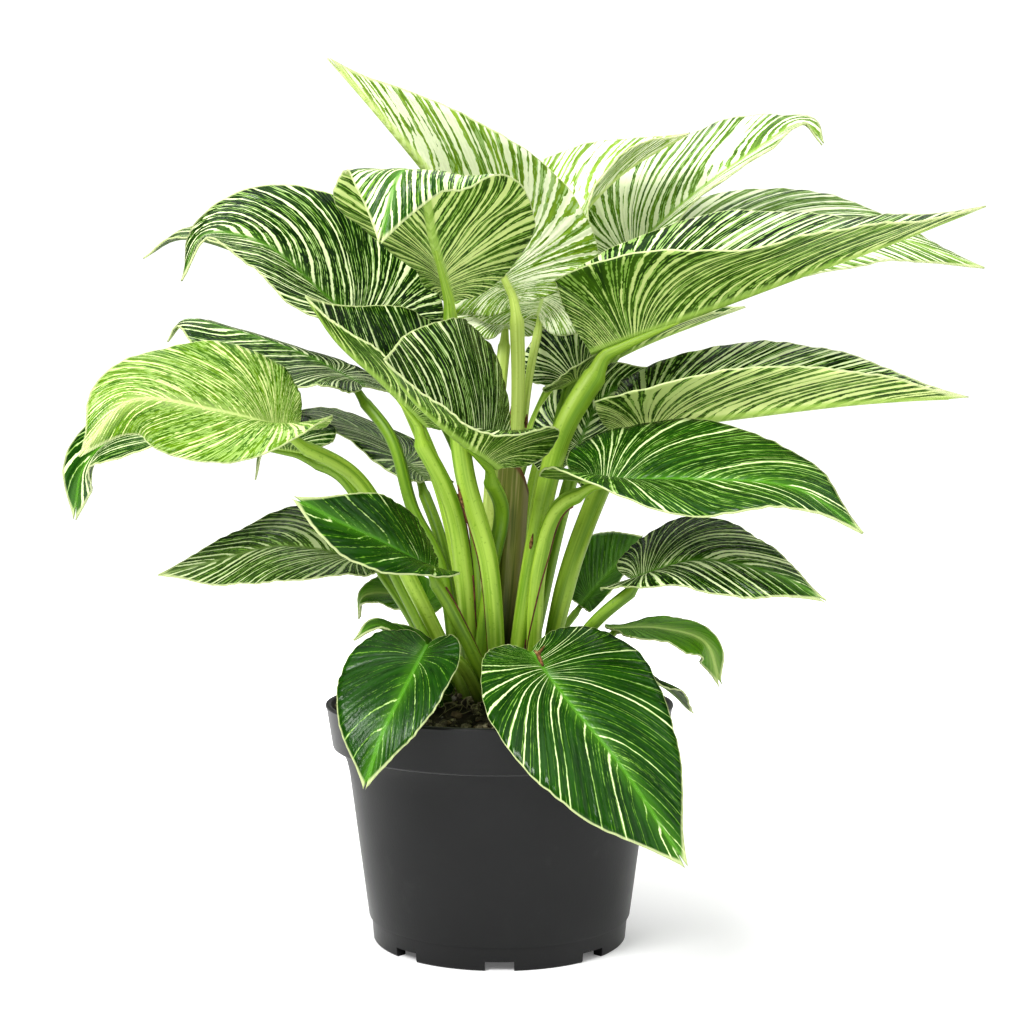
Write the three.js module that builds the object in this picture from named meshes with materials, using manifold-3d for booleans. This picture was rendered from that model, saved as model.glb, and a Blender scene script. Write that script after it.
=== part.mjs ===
// Philodendron birkin in its nursery pot, millimetres, +Z up.
// The origin is on the pot's axis, on the surface that the pot stands on.

import * as THREE from 'three';
import { mergeVertices } from 'three/addons/utils/BufferGeometryUtils.js';
import Module from 'manifold-3d';

const wasm = await Module();
wasm.setup();

// Pot: a six-inch nursery pot, moulded in one piece
const POT_HEIGHT = 112;
const WALL = 1.8;
const RIM_RADIUS = 82.5;
const RIM_BAND = 20;
const BAND_TAPER = 3.5;
const BAND_FOOT = POT_HEIGHT - RIM_BAND;
const BAND_FOOT_RADIUS = RIM_RADIUS - BAND_TAPER;
const LEDGE = 4;
const LEDGE_RISE = 2;
const LIP = 2.4;
const LIP_ROUNDING = 0.8;
const BODY_TOP_RADIUS = 72;
const BODY_TOP = BAND_FOOT - 8;
const BODY_FOOT_RADIUS = 62;
const FOOT_RING_RADIUS = 60;
const FOOT_RING_HEIGHT = 11;
const FOOT_RING_WIDTH = 5;
const FLOOR_LEVEL = 4.5;
const FLOOR_TOP = FLOOR_LEVEL + WALL;
const FLOOR_ROUNDING = 1.5;
const CENTRE_PAD_RADIUS = 12;
const NOTCHES = 8;
const NOTCH_WIDTH = 13;
const NOTCH_LENGTH = 16;
const NOTCH_HEIGHT = 4.2;
const DRAIN_HOLE_RADIUS = 5;
const DRAIN_RING_RADIUS = 40;
const DRAIN_HOLE_SIDES = 12;
const POT_SIDES = 40;

// Gap between two pieces that rest on each other
const CLEARANCE = 0.35;

// Potting mix: mounded up towards the plant, with a heap against the rim at one side
const SOIL_LEVEL = 108.2;
const SOIL_EDGE = 78.4;
const SOIL_MOUND = 5.5;
const SOIL_BUMP = 0.9;
const SOIL_SIDES = 36;
const SOIL_RINGS = [72, 62, 52, 43];
const HEAP = { x: -72, y: -14, height: 6, length: 16, width: 9 };
const PIT_FLARE = 9;
const PIT_FLARE_DEPTH = 9;

// Crown: the short stem that every leaf stalk is seated on
const CROWN = new THREE.Vector3(-1, -5, 0);
const CROWN_FOOT = 84;
const SHOULDER_LEVEL = 112;
const CROWN_TOP = 126;
const CROWN_RADIUS = 16.9;
const CROWN_BEVEL = 2.5;
const NECK_RADIUS = 8.2;
const CROWN_SIDES = 28;

// Stalk seats: the older leaves stand round the crown, the younger ones on its shoulder
const OUTER_SEAT = { radius: 20.5, level: 97, stalk: 2.8 };
const INNER_SEAT = { radius: 12.6, level: SHOULDER_LEVEL + CLEARANCE, stalk: 3.9 };
const SEAT_RISE = 12;
const STALK_SIDES = 6;
const STALK_STEPS = 7;
const STALK_CROWDING = 1.5;

// Sheath: the papery cataphyll round the two newest stalks
const SHEATH_ROUTE = [[-1, -5, 126.4], [-1, -5, 133], [1.5, -5, 150], [7.5, -5, 229]];
const SHEATH_HALF_WIDTH = 6.8;
const SHEATH_HALF_DEPTH = 6.4;
const SHEATH_WALL = 0.8;
const SHEATH_SIDES = 14;
const SHEATH_STEPS = 6;

// Blades
const BLADE_THICKNESS = 0.8;
const KEEL_DEPTH = 1.4;
const BLADE_STATIONS = 10;
const BLADE_COLUMNS = 3;
const LOBE_WIDTHS = 3;
const VEIN_LAG = 0.2;
const VEIN_SOFTNESS = 0.02;
const VEIN_SPREAD = 0.04;
const VEIN_SWEEP = 1.5;
const KEEL_START = 0.12;
const FOOT_KEEL = KEEL_DEPTH * Math.sin(Math.PI * KEEL_START);
const FOOT_REACH = 0.5;
const SETTLING_PASSES = 4;
const TIP_HALF_WIDTH = 0.5;

// Half of a heart-shaped outline: along the midrib, and out from it, as shares of
// the blade's length and of its half width
const OUTLINE = [
  [-0.03, 0.05],
  [-0.12, 0.28],
  [-0.12, 0.58],
  [-0.01, 0.86],
  [0.18, 1.0],
  [0.4, 0.94],
  [0.6, 0.72],
  [0.77, 0.44],
  [0.89, 0.19],
  [0.96, 0.07],
  [1.0, 0.01],
];

// Leaves. seat: ring and bearing in degrees from +X, or foot: where the stalk starts.
// stalk: points on the way up. thick: stalk radius half way up and at the top.
// rib: midrib from the blade's foot to its tip. face: where the upper side looks.
// half: greatest width left and right of the midrib, for someone who looks from foot
// to tip with the upper side up. fold: degrees that each half is raised, from foot to
// tip. taper: width lost by the tip, left and right, as a share. lobe: length of the
// lobes at the foot, 1 when left out. fused: stalk and blade are one piece.
const LEAVES = [
  { name: 'leaf_01', foot: [-1, -6.6, 130], stalk: [[1.5, -6.6, 150], [7.5, -6.6, 229], [8.8, -5, 265]],
    thick: [2.9, 3.6], rib: [[8, -2, 301], [-5, -14, 324], [-35, -40, 360], [-74, -66, 401]],
    face: [[0, 0.9, 0.42], [-0.2, 0.85, 0.5]], half: [50, 44], taper: [0.35, 0.35], lobe: 0.25,
    fold: [[5, 5], [35, 85, 85]] },
  { name: 'leaf_02', foot: [1.7, -2.4, 130],
    stalk: [[4.3, -2.4, 150], [10.3, -2.3, 229], [14, 1.5, 265]],
    thick: [1.4, 2.2], rib: [[18, 11, 296], [31, 20, 334], [55, 26, 363], [94, 42, 388]],
    face: [[-0.4, -0.8, 0.45], [-0.4, -0.8, 0.45]], half: [50, 30], lobe: 0.4,
    fold: [[0, 0], [-10, 60, 85]] },
  { name: 'leaf_03', seat: [INNER_SEAT, 270], stalk: [[-5, -25, 180], [-16, -34, 222]],
    thick: [4.8, 4.6],
    rib: [[-22, -42, 298], [-29, -60, 324], [-33, -82, 347], [-41, -102, 346], [-49, -110, 316]],
    face: [[0, 0.8, 0.6], [0, 0.75, 0.65], [0, 0, 1], [0, -1, 0.1]], half: [46, 47], lobe: 0.25,
    fold: [[40, 10, -16, -5], [65, 26, 0, -10]] },
  { name: 'leaf_04', seat: [INNER_SEAT, 230], stalk: [[-4, -14, 175], [1, -20, 203]],
    thick: [3.6, 3.8], rib: [[-1, -40, 224], [-22, -72, 241], [-38, -100, 256], [-46, -124, 268]],
    face: [[0.52, -0.13, 0.84], [0.45, -0.53, 0.71], [0.45, -0.53, 0.71]], half: [38, 57], lobe: 0.5,
    fold: [[64, 35, 20], [46, 36, 25]] },
  { name: 'leaf_05', seat: [INNER_SEAT, 310], stalk: [[16, -18, 186], [29, -20, 240]],
    thick: [5, 6],
    rib: [[42, -18, 277], [83, -30, 292], [133, -44, 310], [177, -50, 325], [214, -54, 339]],
    face: [[-0.3, 0.05, 0.95], [-0.3, 0.05, 0.95]], half: [44, 46], lobe: 0.1, taper: [-0.5, 0],
    fold: [[80, 50, 25], [56, 20, 15]] },
  { name: 'leaf_06', seat: [INNER_SEAT, 150], stalk: [[-25, 14, 203], [-41, 28, 245]],
    thick: [4, 3.6],
    rib: [[-56, 22, 281], [-84, 12, 306], [-112, 0, 329], [-138, -8, 332], [-148, -14, 310]],
    face: [[-0.1, -0.9, 0.4], [-0.2, -0.8, 0.5], [-0.85, -0.5, 0.3]], half: [30, 46],
    fold: [[70, 35, 0], [5, 5, -15]] },
  { name: 'leaf_07', seat: [INNER_SEAT, 190], stalk: [[-21, -20, 203]],
    thick: [4.6, 4.2], rib: [[-33, -30, 243], [-53, -42, 264], [-72, -52, 281], [-85, -60, 299]],
    face: [[0.4, -0.1, 0.9], [0.4, -0.1, 0.9]], half: [26, 39], lobe: 0.3,
    fold: [[25, 25], [65, 65]] },
  { name: 'leaf_08', seat: [OUTER_SEAT, 234], stalk: [[-41, -27, 172], [-65, -34, 219]],
    thick: [4, 3.6], rib: [[-91, -42, 240], [-123, -66, 249], [-156, -92, 252], [-174, -104, 229]],
    face: [[0, -0.55, 0.8], [-0.1, -0.55, 0.8], [-0.6, -0.6, 0.5]], half: [33, 40], lobe: 0.3,
    fold: [[45, -12, -60, -70], [25, 26, 18, 10]] },
  { name: 'leaf_09', seat: [OUTER_SEAT, 270], stalk: [[-21, -41, 158]],
    thick: [3.4, 3], rib: [[-27, -48, 177], [-51, -70, 192], [-70, -84, 202], [-87, -92, 212]],
    face: [[0.25, -0.75, 0.6], [0.25, -0.75, 0.6]], half: [16, 23], lobe: 0.15, taper: [-1.1, -0.1],
    fold: [[60, 12, -10], [-12, 18, 25]] },
  { name: 'leaf_10', seat: [OUTER_SEAT, 162], stalk: [[-28, 16, 175], [-42, 24, 202], [-53, 30, 237]],
    thick: [3.4, 3.2],
    rib: [[-68, 40, 264], [-101, 60, 281], [-139, 76, 294], [-165, 84, 299], [-174, 88, 288]],
    face: [[0.1, 0.3, 0.95], [0.1, 0.3, 0.95], [-0.5, 0.2, 0.8]], half: [42, 30], lobe: 0.5,
    fold: [[-22, -62, -60, -20], [20, 16, 13, 10]] },
  { name: 'leaf_11', seat: [OUTER_SEAT, 126], stalk: [[-29, 42, 185]],
    thick: [3.2, 3],
    rib: [[-37, 55, 217], [-67, 80, 240], [-106, 98, 248], [-127, 108, 233], [-132, 112, 215]],
    face: [[0.4, -0.15, 0.9], [0, -0.15, 0.95], [-0.8, -0.3, 0.3]], half: [20, 26], lobe: 0.3,
    fold: [[-8, -4], [0, 0]] },
  { name: 'leaf_12', seat: [OUTER_SEAT, 198], stalk: [[-49, 8, 170], [-76, 17, 218]],
    thick: [3.2, 3],
    rib: [[-94, 20, 231], [-150, 42, 238], [-194, 60, 238], [-214, 70, 222], [-221, 78, 195]],
    face: [[0, -0.3, 0.95], [-0.1, -0.3, 0.95], [-0.2, -0.5, 0.8], [-0.4, -0.9, 0.3]],
    half: [34, 34], lobe: 0.5, taper: [-0.8, -0.65],
    fold: [[30, 8, 8], [8, 8]] },
  { name: 'leaf_13', seat: [OUTER_SEAT, 180], stalk: [[-42, 12, 150]],
    thick: [3.2, 3], rib: [[-59, 30, 177], [-111, 50, 183], [-148, 62, 174], [-176, 68, 167]],
    face: [[-0.05, -0.4, 0.9], [-0.05, -0.4, 0.9]], half: [30, 37], lobe: 0.5,
    fold: [[12, -45], [12, 12]] },
  { name: 'leaf_14', seat: [OUTER_SEAT, 144], stalk: [],
    thick: [2.2, 2], rib: [[-34, 28, 151], [-52, 42, 159], [-69, 52, 157], [-72, 58, 145]],
    face: [[0, -0.5, 0.85], [-0.6, -0.5, 0.5]], half: [13, 16], lobe: 0.2,
    fold: [[30, 10], [5, 5]] },
  { name: 'leaf_15', seat: [OUTER_SEAT, 216], stalk: [], fused: true,
    thick: [2.2, 2], rib: [[-28, -28, 121], [-42, -31, 143], [-56, -37, 152], [-66, -42, 146]],
    face: [[0, -0.3, 0.95], [-0.3, -0.3, 0.9]], half: [15, 15],
    fold: [[10, 10], [10, 10]] },
  { name: 'leaf_16', seat: [OUTER_SEAT, 108], stalk: [[-20, 84, 225], [-50, 96, 275]], fused: true,
    thick: [3.2, 3], rib: [[-80, 97, 305], [-141, 98, 338], [-169, 98, 343], [-189, 102, 333]],
    face: [[0.2, -0.3, 0.9], [0, -0.3, 0.95]], half: [30, 30],
    fold: [[15, 15], [15, 15]] },
  { name: 'leaf_17', seat: [OUTER_SEAT, 252], stalk: [[-20, -46, 138]],
    thick: [3, 2.8], rib: [[-32, -58, 146], [-43, -80, 125], [-50, -90, 111], [-57, -97, 89]],
    face: [[-0.15, -0.45, 0.88], [-0.2, -0.85, 0.45]], half: [19, 30], lobe: 0.5, taper: [-0.2, -0.2],
    fold: [[5, 5], [5, 5]] },
  { name: 'leaf_18', seat: [OUTER_SEAT, 288], stalk: [[8, -42, 134]],
    thick: [3.6, 3.4], rib: [[14, -52, 142], [30, -78, 123], [51, -98, 99], [77, -116, 61]],
    face: [[0.1, -0.4, 0.9], [0.3, -0.85, 0.4]], half: [46, 28], lobe: 0.5, taper: [0.15, -1.15],
    fold: [[5, 5], [-8, 5]] },
  { name: 'leaf_19', seat: [OUTER_SEAT, 90], stalk: [[20, 58, 215]],
    thick: [3.6, 2.6], rib: [[70, 78, 302], [120, 80, 334], [190, 82, 344], [252, 82, 326]],
    face: [[-0.1, -0.3, 0.95], [0.2, -0.2, 0.97]], half: [48, 42],
    fold: [[30, 30, 10], [-5, -25, -38]] },
  { name: 'leaf_20', seat: [INNER_SEAT, 30], stalk: [[18, 40, 215]],
    thick: [4, 3.8],
    rib: [[52, 50, 318], [93, 54, 356], [128, 58, 382], [148, 62, 395], [156, 66, 397], [165, 68, 387]],
    face: [[-0.4, -0.6, 0.65], [-0.2, -0.6, 0.75]], half: [31, 10], lobe: 0.4, taper: [-1.1, -1.1],
    fold: [[50, 10, 0], [20, 20]] },
  { name: 'leaf_21', seat: [INNER_SEAT, 70], stalk: [[8, 44, 215]],
    thick: [3.6, 3.4], rib: [[57, 82, 330], [69, 90, 359], [85, 98, 379], [101, 102, 392]],
    face: [[-0.5, -0.7, 0.5], [-0.5, -0.7, 0.5]], half: [26, 26], lobe: 0.4,
    fold: [[10, 10], [10, 10]] },
  { name: 'leaf_22', seat: [INNER_SEAT, 350], stalk: [[20, 3, 200]],
    thick: [3.4, 3.2], rib: [[29, 12, 262], [68, 24, 283], [121, 36, 302]],
    face: [[-0.3, -0.3, 0.9], [-0.2, -0.3, 0.9]], half: [30, 28],
    fold: [[60, 30], [30, 30]] },
  { name: 'leaf_23', seat: [OUTER_SEAT, 54], stalk: [[26, 16, 185]],
    thick: [3.8, 3.6], rib: [[35, 14, 226], [50, 24, 256], [78, 32, 272]],
    face: [[-0.3, -0.9, 0.3], [-0.3, -0.9, 0.3]], half: [26, 26],
    fold: [[0, 0], [0, 0]] },
  { name: 'leaf_24', seat: [OUTER_SEAT, 0], stalk: [[32, -9, 172], [47, -8, 213]],
    thick: [5, 5], rib: [[53, -6, 240], [102, -24, 247], [157, -40, 253], [209, -48, 255]],
    face: [[0, 0.05, 1], [0, 0.05, 1]], half: [42, 30], lobe: 0.1, taper: [-0.2, -0.2],
    fold: [[48, 58, 50], [28, 48]] },
  { name: 'leaf_25', seat: [OUTER_SEAT, 324], stalk: [[18, -28, 178], [27, -38, 206]],
    thick: [4.2, 3.8], rib: [[38, -43, 218], [90, -68, 219], [127, -84, 215], [153, -94, 197]],
    face: [[-0.1, -0.45, 0.88], [-0.05, -0.45, 0.88], [0.5, -0.4, 0.7]], half: [44, 36], lobe: 0.8,
    fold: [[10, 10], [38, -5, -4]] },
  { name: 'leaf_26', seat: [OUTER_SEAT, 342], stalk: [[42, -24, 150]],
    thick: [3.4, 3.2], rib: [[60, -30, 173], [89, -52, 183], [122, -68, 177], [141, -76, 167]],
    face: [[-0.1, -0.4, 0.9], [0.3, -0.4, 0.85]], half: [42, 14], lobe: 0.8, taper: [0.5, -1.6],
    fold: [[12, 12], [10, -18, -30]] },
  { name: 'leaf_27', seat: [OUTER_SEAT, 72], stalk: [],
    thick: [2.2, 2], rib: [[41, 52, 153], [55, 62, 168], [68, 72, 180], [76, 80, 186]],
    face: [[0, -0.9, 0.3], [0, -0.9, 0.3]], half: [12, 7], lobe: 0.1, taper: [-2, -0.3],
    fold: [[5, 5], [5, 5]] },
  { name: 'leaf_28', seat: [OUTER_SEAT, 18], stalk: [[35, 14, 125]],
    thick: [2.4, 2.2], rib: [[55, 20, 145], [80, 36, 143], [104, 50, 134], [113, 60, 110]],
    face: [[0, -0.3, 0.95], [0.1, -0.6, 0.8], [0.2, -0.95, 0.2]], half: [7, 19], lobe: 0.2, taper: [-2, -0.1],
    fold: [[-12, 0], [5, 5]] },
  { name: 'leaf_29', seat: [OUTER_SEAT, 36], stalk: [], fused: true,
    thick: [2.2, 2], rib: [[62, 40, 122], [84, 63, 112], [103, 92, 92]],
    face: [[0.1, -0.3, 0.95], [0.3, -0.2, 0.9]], half: [9, 13],
    fold: [[5, 5], [5, 5]] },
  { name: 'leaf_30', seat: [INNER_SEAT, 110], stalk: [[-5, 16, 200]], fused: true,
    thick: [3.4, 3.2], rib: [[3, 30, 292], [0, 50, 311], [-5, 80, 340]],
    face: [[0, -0.6, 0.8], [0, -0.6, 0.8]], half: [26, 26],
    fold: [[10, 10], [10, 10]] },
];

const vector = (point) => new THREE.Vector3(...point);
const radians = THREE.MathUtils.degToRad;

// A closed body from rings of points: side faces between them, and flat or fanned ends
function ringsToGeometry(rings) {
  const sides = rings[0].length;
  const positions = rings.flat().flatMap((point) => point.toArray());
  const faces = [];
  for (let ring = 0; ring + 1 < rings.length; ring += 1) {
    for (let side = 0; side < sides; side += 1) {
      const next = (side + 1) % sides;
      const a = ring * sides + side;
      const b = ring * sides + next;
      const c = (ring + 1) * sides + next;
      const d = (ring + 1) * sides + side;
      faces.push(a, b, c, a, c, d);
    }
  }
  const last = (rings.length - 1) * sides;
  for (let side = 1; side + 1 < sides; side += 1) {
    faces.push(0, side + 1, side);
    faces.push(last, last + side, last + side + 1);
  }
  const geometry = new THREE.BufferGeometry();
  geometry.setAttribute('position', new THREE.Float32BufferAttribute(positions, 3));
  geometry.setIndex(faces);
  return geometry;
}

// Frames along a route that turn as little as they can
function routeFrames(curve, steps, crowding = 1) {
  const frames = [];
  let side = null;
  for (let step = 0; step <= steps; step += 1) {
    const share = (step / steps) ** crowding;
    const tangent = curve.getTangentAt(share);
    side = side ?? new THREE.Vector3(1, 0, 0);
    side = side.clone().addScaledVector(tangent, -side.dot(tangent)).normalize();
    const other = tangent.clone().cross(side);
    frames.push({ share, centre: curve.getPointAt(share), side, other });
  }
  return frames;
}

// A six-sided stalk with one edge turned towards the blade's underside at the top
function stalkGeometry({ curve, crest }, radii) {
  const [foot, middle, top] = radii;
  const frames = routeFrames(curve, STALK_STEPS, STALK_CROWDING);
  const turn = Math.atan2(crest.dot(frames.at(-1).other), crest.dot(frames.at(-1).side));
  const rings = frames.map(({ share, centre, side, other }) => {
    const radius = share < 0.5
      ? THREE.MathUtils.lerp(foot, middle, share * 2)
      : THREE.MathUtils.lerp(middle, top, share * 2 - 1);
    return Array.from({ length: STALK_SIDES }, (_, index) => {
      const angle = (2 * Math.PI * index) / STALK_SIDES + turn;
      return centre.clone()
        .addScaledVector(side, radius * Math.cos(angle))
        .addScaledVector(other, radius * Math.sin(angle));
    });
  });
  return ringsToGeometry(rings);
}

// Piecewise linear value from a list of vectors, share 0 to 1
function along(list, share) {
  const place = THREE.MathUtils.clamp(share, 0, 1) * (list.length - 1);
  const index = Math.min(Math.floor(place), list.length - 2);
  return list[index].clone().lerp(list[index + 1], place - index);
}

function alongNumbers(list, share) {
  const place = share * (list.length - 1);
  const index = Math.min(Math.floor(place), list.length - 2);
  return THREE.MathUtils.lerp(list[index], list[index + 1], place - index);
}

const OUTLINE_CURVE = new THREE.CatmullRomCurve3(
  OUTLINE.map(([x, y]) => new THREE.Vector3(x, y, 0)),
  false,
  'centripetal',
);

// The curve of one blade: a function from (rib share along, out, side) to a point
// and the direction that its upper side looks
function bladeSurface(leaf) {
  const curve = new THREE.CatmullRomCurve3(leaf.rib.map(vector), false, 'centripetal');
  const length = curve.getLength();
  const faces = leaf.face.map(vector);
  const frameAt = (share) => {
    const inside = THREE.MathUtils.clamp(share, 0, 1);
    const tangent = curve.getTangentAt(inside);
    const centre = curve.getPointAt(inside);
    centre.addScaledVector(tangent, (share - inside) * length);
    const up = along(faces, inside);
    up.addScaledVector(tangent, -up.dot(tangent)).normalize();
    return { centre, tangent, up, right: tangent.clone().cross(up) };
  };
  const pointAt = (share, out, side) => {
    const frame = frameAt(share);
    const index = side > 0 ? 1 : 0;
    const inside = THREE.MathUtils.clamp(share, 0, 1);
    const angle = radians(alongNumbers(leaf.fold[index], inside));
    const reach = out * leaf.half[index] * (1 - (leaf.taper?.[index] ?? 0) * inside);
    const point = frame.centre.clone()
      .addScaledVector(frame.right, side * reach * Math.cos(angle))
      .addScaledVector(frame.up, reach * Math.sin(angle));
    const normal = frame.up.clone().multiplyScalar(Math.cos(angle))
      .addScaledVector(frame.right, -side * Math.sin(angle));
    return { point, normal };
  };
  return { frameAt, pointAt, length };
}

// Rows follow the side veins, which leave the midrib and sweep on to the edge
function bladeGeometry(leaf) {
  const surface = bladeSurface(leaf);
  const width = 2 * BLADE_COLUMNS + 1;
  const lobeScale = ((leaf.lobe ?? 1) * LOBE_WIDTHS * Math.max(...leaf.half)) / surface.length;
  const upper = [];
  const lower = [];
  for (let row = 0; row <= BLADE_STATIONS; row += 1) {
    const share = row / BLADE_STATIONS;
    const edge = OUTLINE_CURVE.getPoint(share);
    const start = veinStart(edge, share);
    for (let column = -BLADE_COLUMNS; column <= BLADE_COLUMNS; column += 1) {
      const out = Math.abs(column) / BLADE_COLUMNS;
      const side = column < 0 ? -1 : 1;
      const lobed = edge.x < 0 ? lobeScale * edge.x : edge.x;
      const x = start + (lobed - start) * out ** VEIN_SWEEP;
      const y = Math.max(edge.y, TIP_HALF_WIDTH / leaf.half[side > 0 ? 1 : 0]) * out;
      const { point, normal } = surface.pointAt(x, y, side);
      const onRib = column === 0;
      const keel = onRib ? KEEL_DEPTH * Math.sin(Math.PI * Math.min(1, start + KEEL_START)) : 0;
      const up = onRib ? surface.frameAt(x).up : normal;
      upper.push(point);
      lower.push(point.clone().addScaledVector(up, -(BLADE_THICKNESS + keel)));
    }
  }
  const count = upper.length;
  const faces = [];
  for (let row = 0; row < BLADE_STATIONS; row += 1) {
    for (let column = 0; column + 1 < width; column += 1) {
      const a = row * width + column;
      const b = a + 1;
      const c = b + width;
      const d = a + width;
      const left = column < BLADE_COLUMNS;
      const split = left ? [[a, b, d], [b, c, d]] : [[a, b, c], [a, c, d]];
      for (const [p, q, r] of split) {
        faces.push(p, q, r);
        faces.push(count + p, count + r, count + q);
      }
    }
  }
  const border = [];
  for (let column = 0; column < width; column += 1) border.push(column);
  for (let row = 1; row <= BLADE_STATIONS; row += 1) border.push(row * width + width - 1);
  for (let column = width - 2; column >= 0; column -= 1) border.push(BLADE_STATIONS * width + column);
  for (let row = BLADE_STATIONS - 1; row > 0; row -= 1) border.push(row * width);
  border.forEach((p, index) => {
    const q = border[(index + 1) % border.length];
    faces.push(p, count + p, count + q);
    faces.push(p, count + q, q);
  });
  const geometry = new THREE.BufferGeometry();
  const positions = [...upper, ...lower].flatMap((point) => point.toArray());
  geometry.setAttribute('position', new THREE.Float32BufferAttribute(positions, 3));
  geometry.setIndex(faces);
  return geometry;
}

// Where a side vein leaves the midrib: a little behind the place where it ends
function veinStart(edge, share) {
  const lagged = edge.x - VEIN_LAG * Math.sqrt(edge.y);
  return VEIN_SOFTNESS * Math.log(1 + Math.exp(lagged / VEIN_SOFTNESS)) + VEIN_SPREAD * share;
}

function seatPoint(seat, bearing) {
  const angle = radians(bearing);
  return CROWN.clone().add(new THREE.Vector3(
    seat.radius * Math.cos(angle),
    seat.radius * Math.sin(angle),
    seat.level,
  ));
}

// The stalk's route, and the direction of its edge that meets the blade's foot. The
// route's end moves until that edge lies just under the midrib.
function stalkRoute(leaf) {
  const { centre, tangent, up } = bladeSurface(leaf).frameAt(0);
  const foot = leaf.seat ? seatPoint(...leaf.seat) : vector(leaf.foot);
  const risen = foot.clone().add(new THREE.Vector3(0, 0, SEAT_RISE));
  const way = [foot, risen, ...leaf.stalk.map(vector)];
  const gap = leaf.fused ? -BLADE_THICKNESS : CLEARANCE;
  const meeting = centre.clone()
    .addScaledVector(up, -(BLADE_THICKNESS + FOOT_KEEL + gap))
    .addScaledVector(tangent, FOOT_REACH);
  const route = (end) => new THREE.CatmullRomCurve3([...way, end], false, 'centripetal');
  let curve = route(meeting);
  let crest = up;
  for (let pass = 0; pass < SETTLING_PASSES; pass += 1) {
    const arriving = curve.getTangentAt(1);
    crest = up.clone().addScaledVector(arriving, -up.dot(arriving)).normalize();
    curve = route(meeting.clone().addScaledVector(crest, -leaf.thick.at(-1)));
  }
  return { curve, crest };
}

function toSolid(geometry) {
  const plain = geometry.clone();
  plain.deleteAttribute('normal');
  plain.deleteAttribute('uv');
  const merged = mergeVertices(plain, 1e-4);
  const mesh = new wasm.Mesh({
    numProp: 3,
    vertProperties: Float32Array.from(merged.attributes.position.array),
    triVerts: Uint32Array.from(merged.index.array),
  });
  return new wasm.Manifold(mesh);
}

function toGeometry(solid) {
  const mesh = solid.getMesh();
  const geometry = new THREE.BufferGeometry();
  geometry.setAttribute('position', new THREE.Float32BufferAttribute(mesh.vertProperties, 3));
  geometry.setIndex(Array.from(mesh.triVerts));
  return geometry;
}

function lathe(profile, sides) {
  const geometry = new THREE.LatheGeometry(profile.map(([r, z]) => new THREE.Vector2(r, z)), sides);
  geometry.rotateX(Math.PI / 2);
  return geometry;
}

function potGeometry() {
  const profile = [
    [0, 0],
    [CENTRE_PAD_RADIUS, 0],
    [CENTRE_PAD_RADIUS, FLOOR_LEVEL],
    [FOOT_RING_RADIUS - FOOT_RING_WIDTH, FLOOR_LEVEL],
    [FOOT_RING_RADIUS - FOOT_RING_WIDTH, 0],
    [FOOT_RING_RADIUS, 0],
    [FOOT_RING_RADIUS + 1, FOOT_RING_HEIGHT],
    [BODY_FOOT_RADIUS, FOOT_RING_HEIGHT],
    [BODY_TOP_RADIUS, BODY_TOP],
    [BAND_FOOT_RADIUS - LEDGE, BAND_FOOT - LEDGE_RISE],
    [BAND_FOOT_RADIUS, BAND_FOOT],
    [RIM_RADIUS - 0.6, POT_HEIGHT - 2],
    [RIM_RADIUS, POT_HEIGHT - LIP_ROUNDING],
    [RIM_RADIUS - LIP_ROUNDING, POT_HEIGHT],
    [RIM_RADIUS - LIP, POT_HEIGHT],
    [BAND_FOOT_RADIUS - LIP, BAND_FOOT + LEDGE_RISE],
    [BODY_TOP_RADIUS - WALL, BODY_TOP],
    [FOOT_RING_RADIUS - WALL + 1, FLOOR_TOP + FLOOR_ROUNDING],
    [FOOT_RING_RADIUS - WALL + 1 - FLOOR_ROUNDING, FLOOR_TOP],
    [0, FLOOR_TOP],
  ];
  let solid = toSolid(lathe(profile, POT_SIDES));
  for (let index = 0; index < NOTCHES; index += 1) {
    const angle = (2 * Math.PI * index) / NOTCHES + Math.PI / 2;
    const notch = new THREE.BoxGeometry(NOTCH_LENGTH, NOTCH_WIDTH, 2 * NOTCH_HEIGHT);
    notch.translate(FOOT_RING_RADIUS, 0, 0);
    notch.rotateZ(angle);
    solid = solid.subtract(toSolid(notch));
    const hole = new THREE.CylinderGeometry(
      DRAIN_HOLE_RADIUS,
      DRAIN_HOLE_RADIUS,
      2 * FLOOR_TOP,
      DRAIN_HOLE_SIDES,
    );
    hole.rotateX(Math.PI / 2);
    hole.translate(DRAIN_RING_RADIUS, 0, FLOOR_LEVEL);
    hole.rotateZ(angle);
    solid = solid.subtract(toSolid(hole));
  }
  return toGeometry(solid);
}

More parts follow.
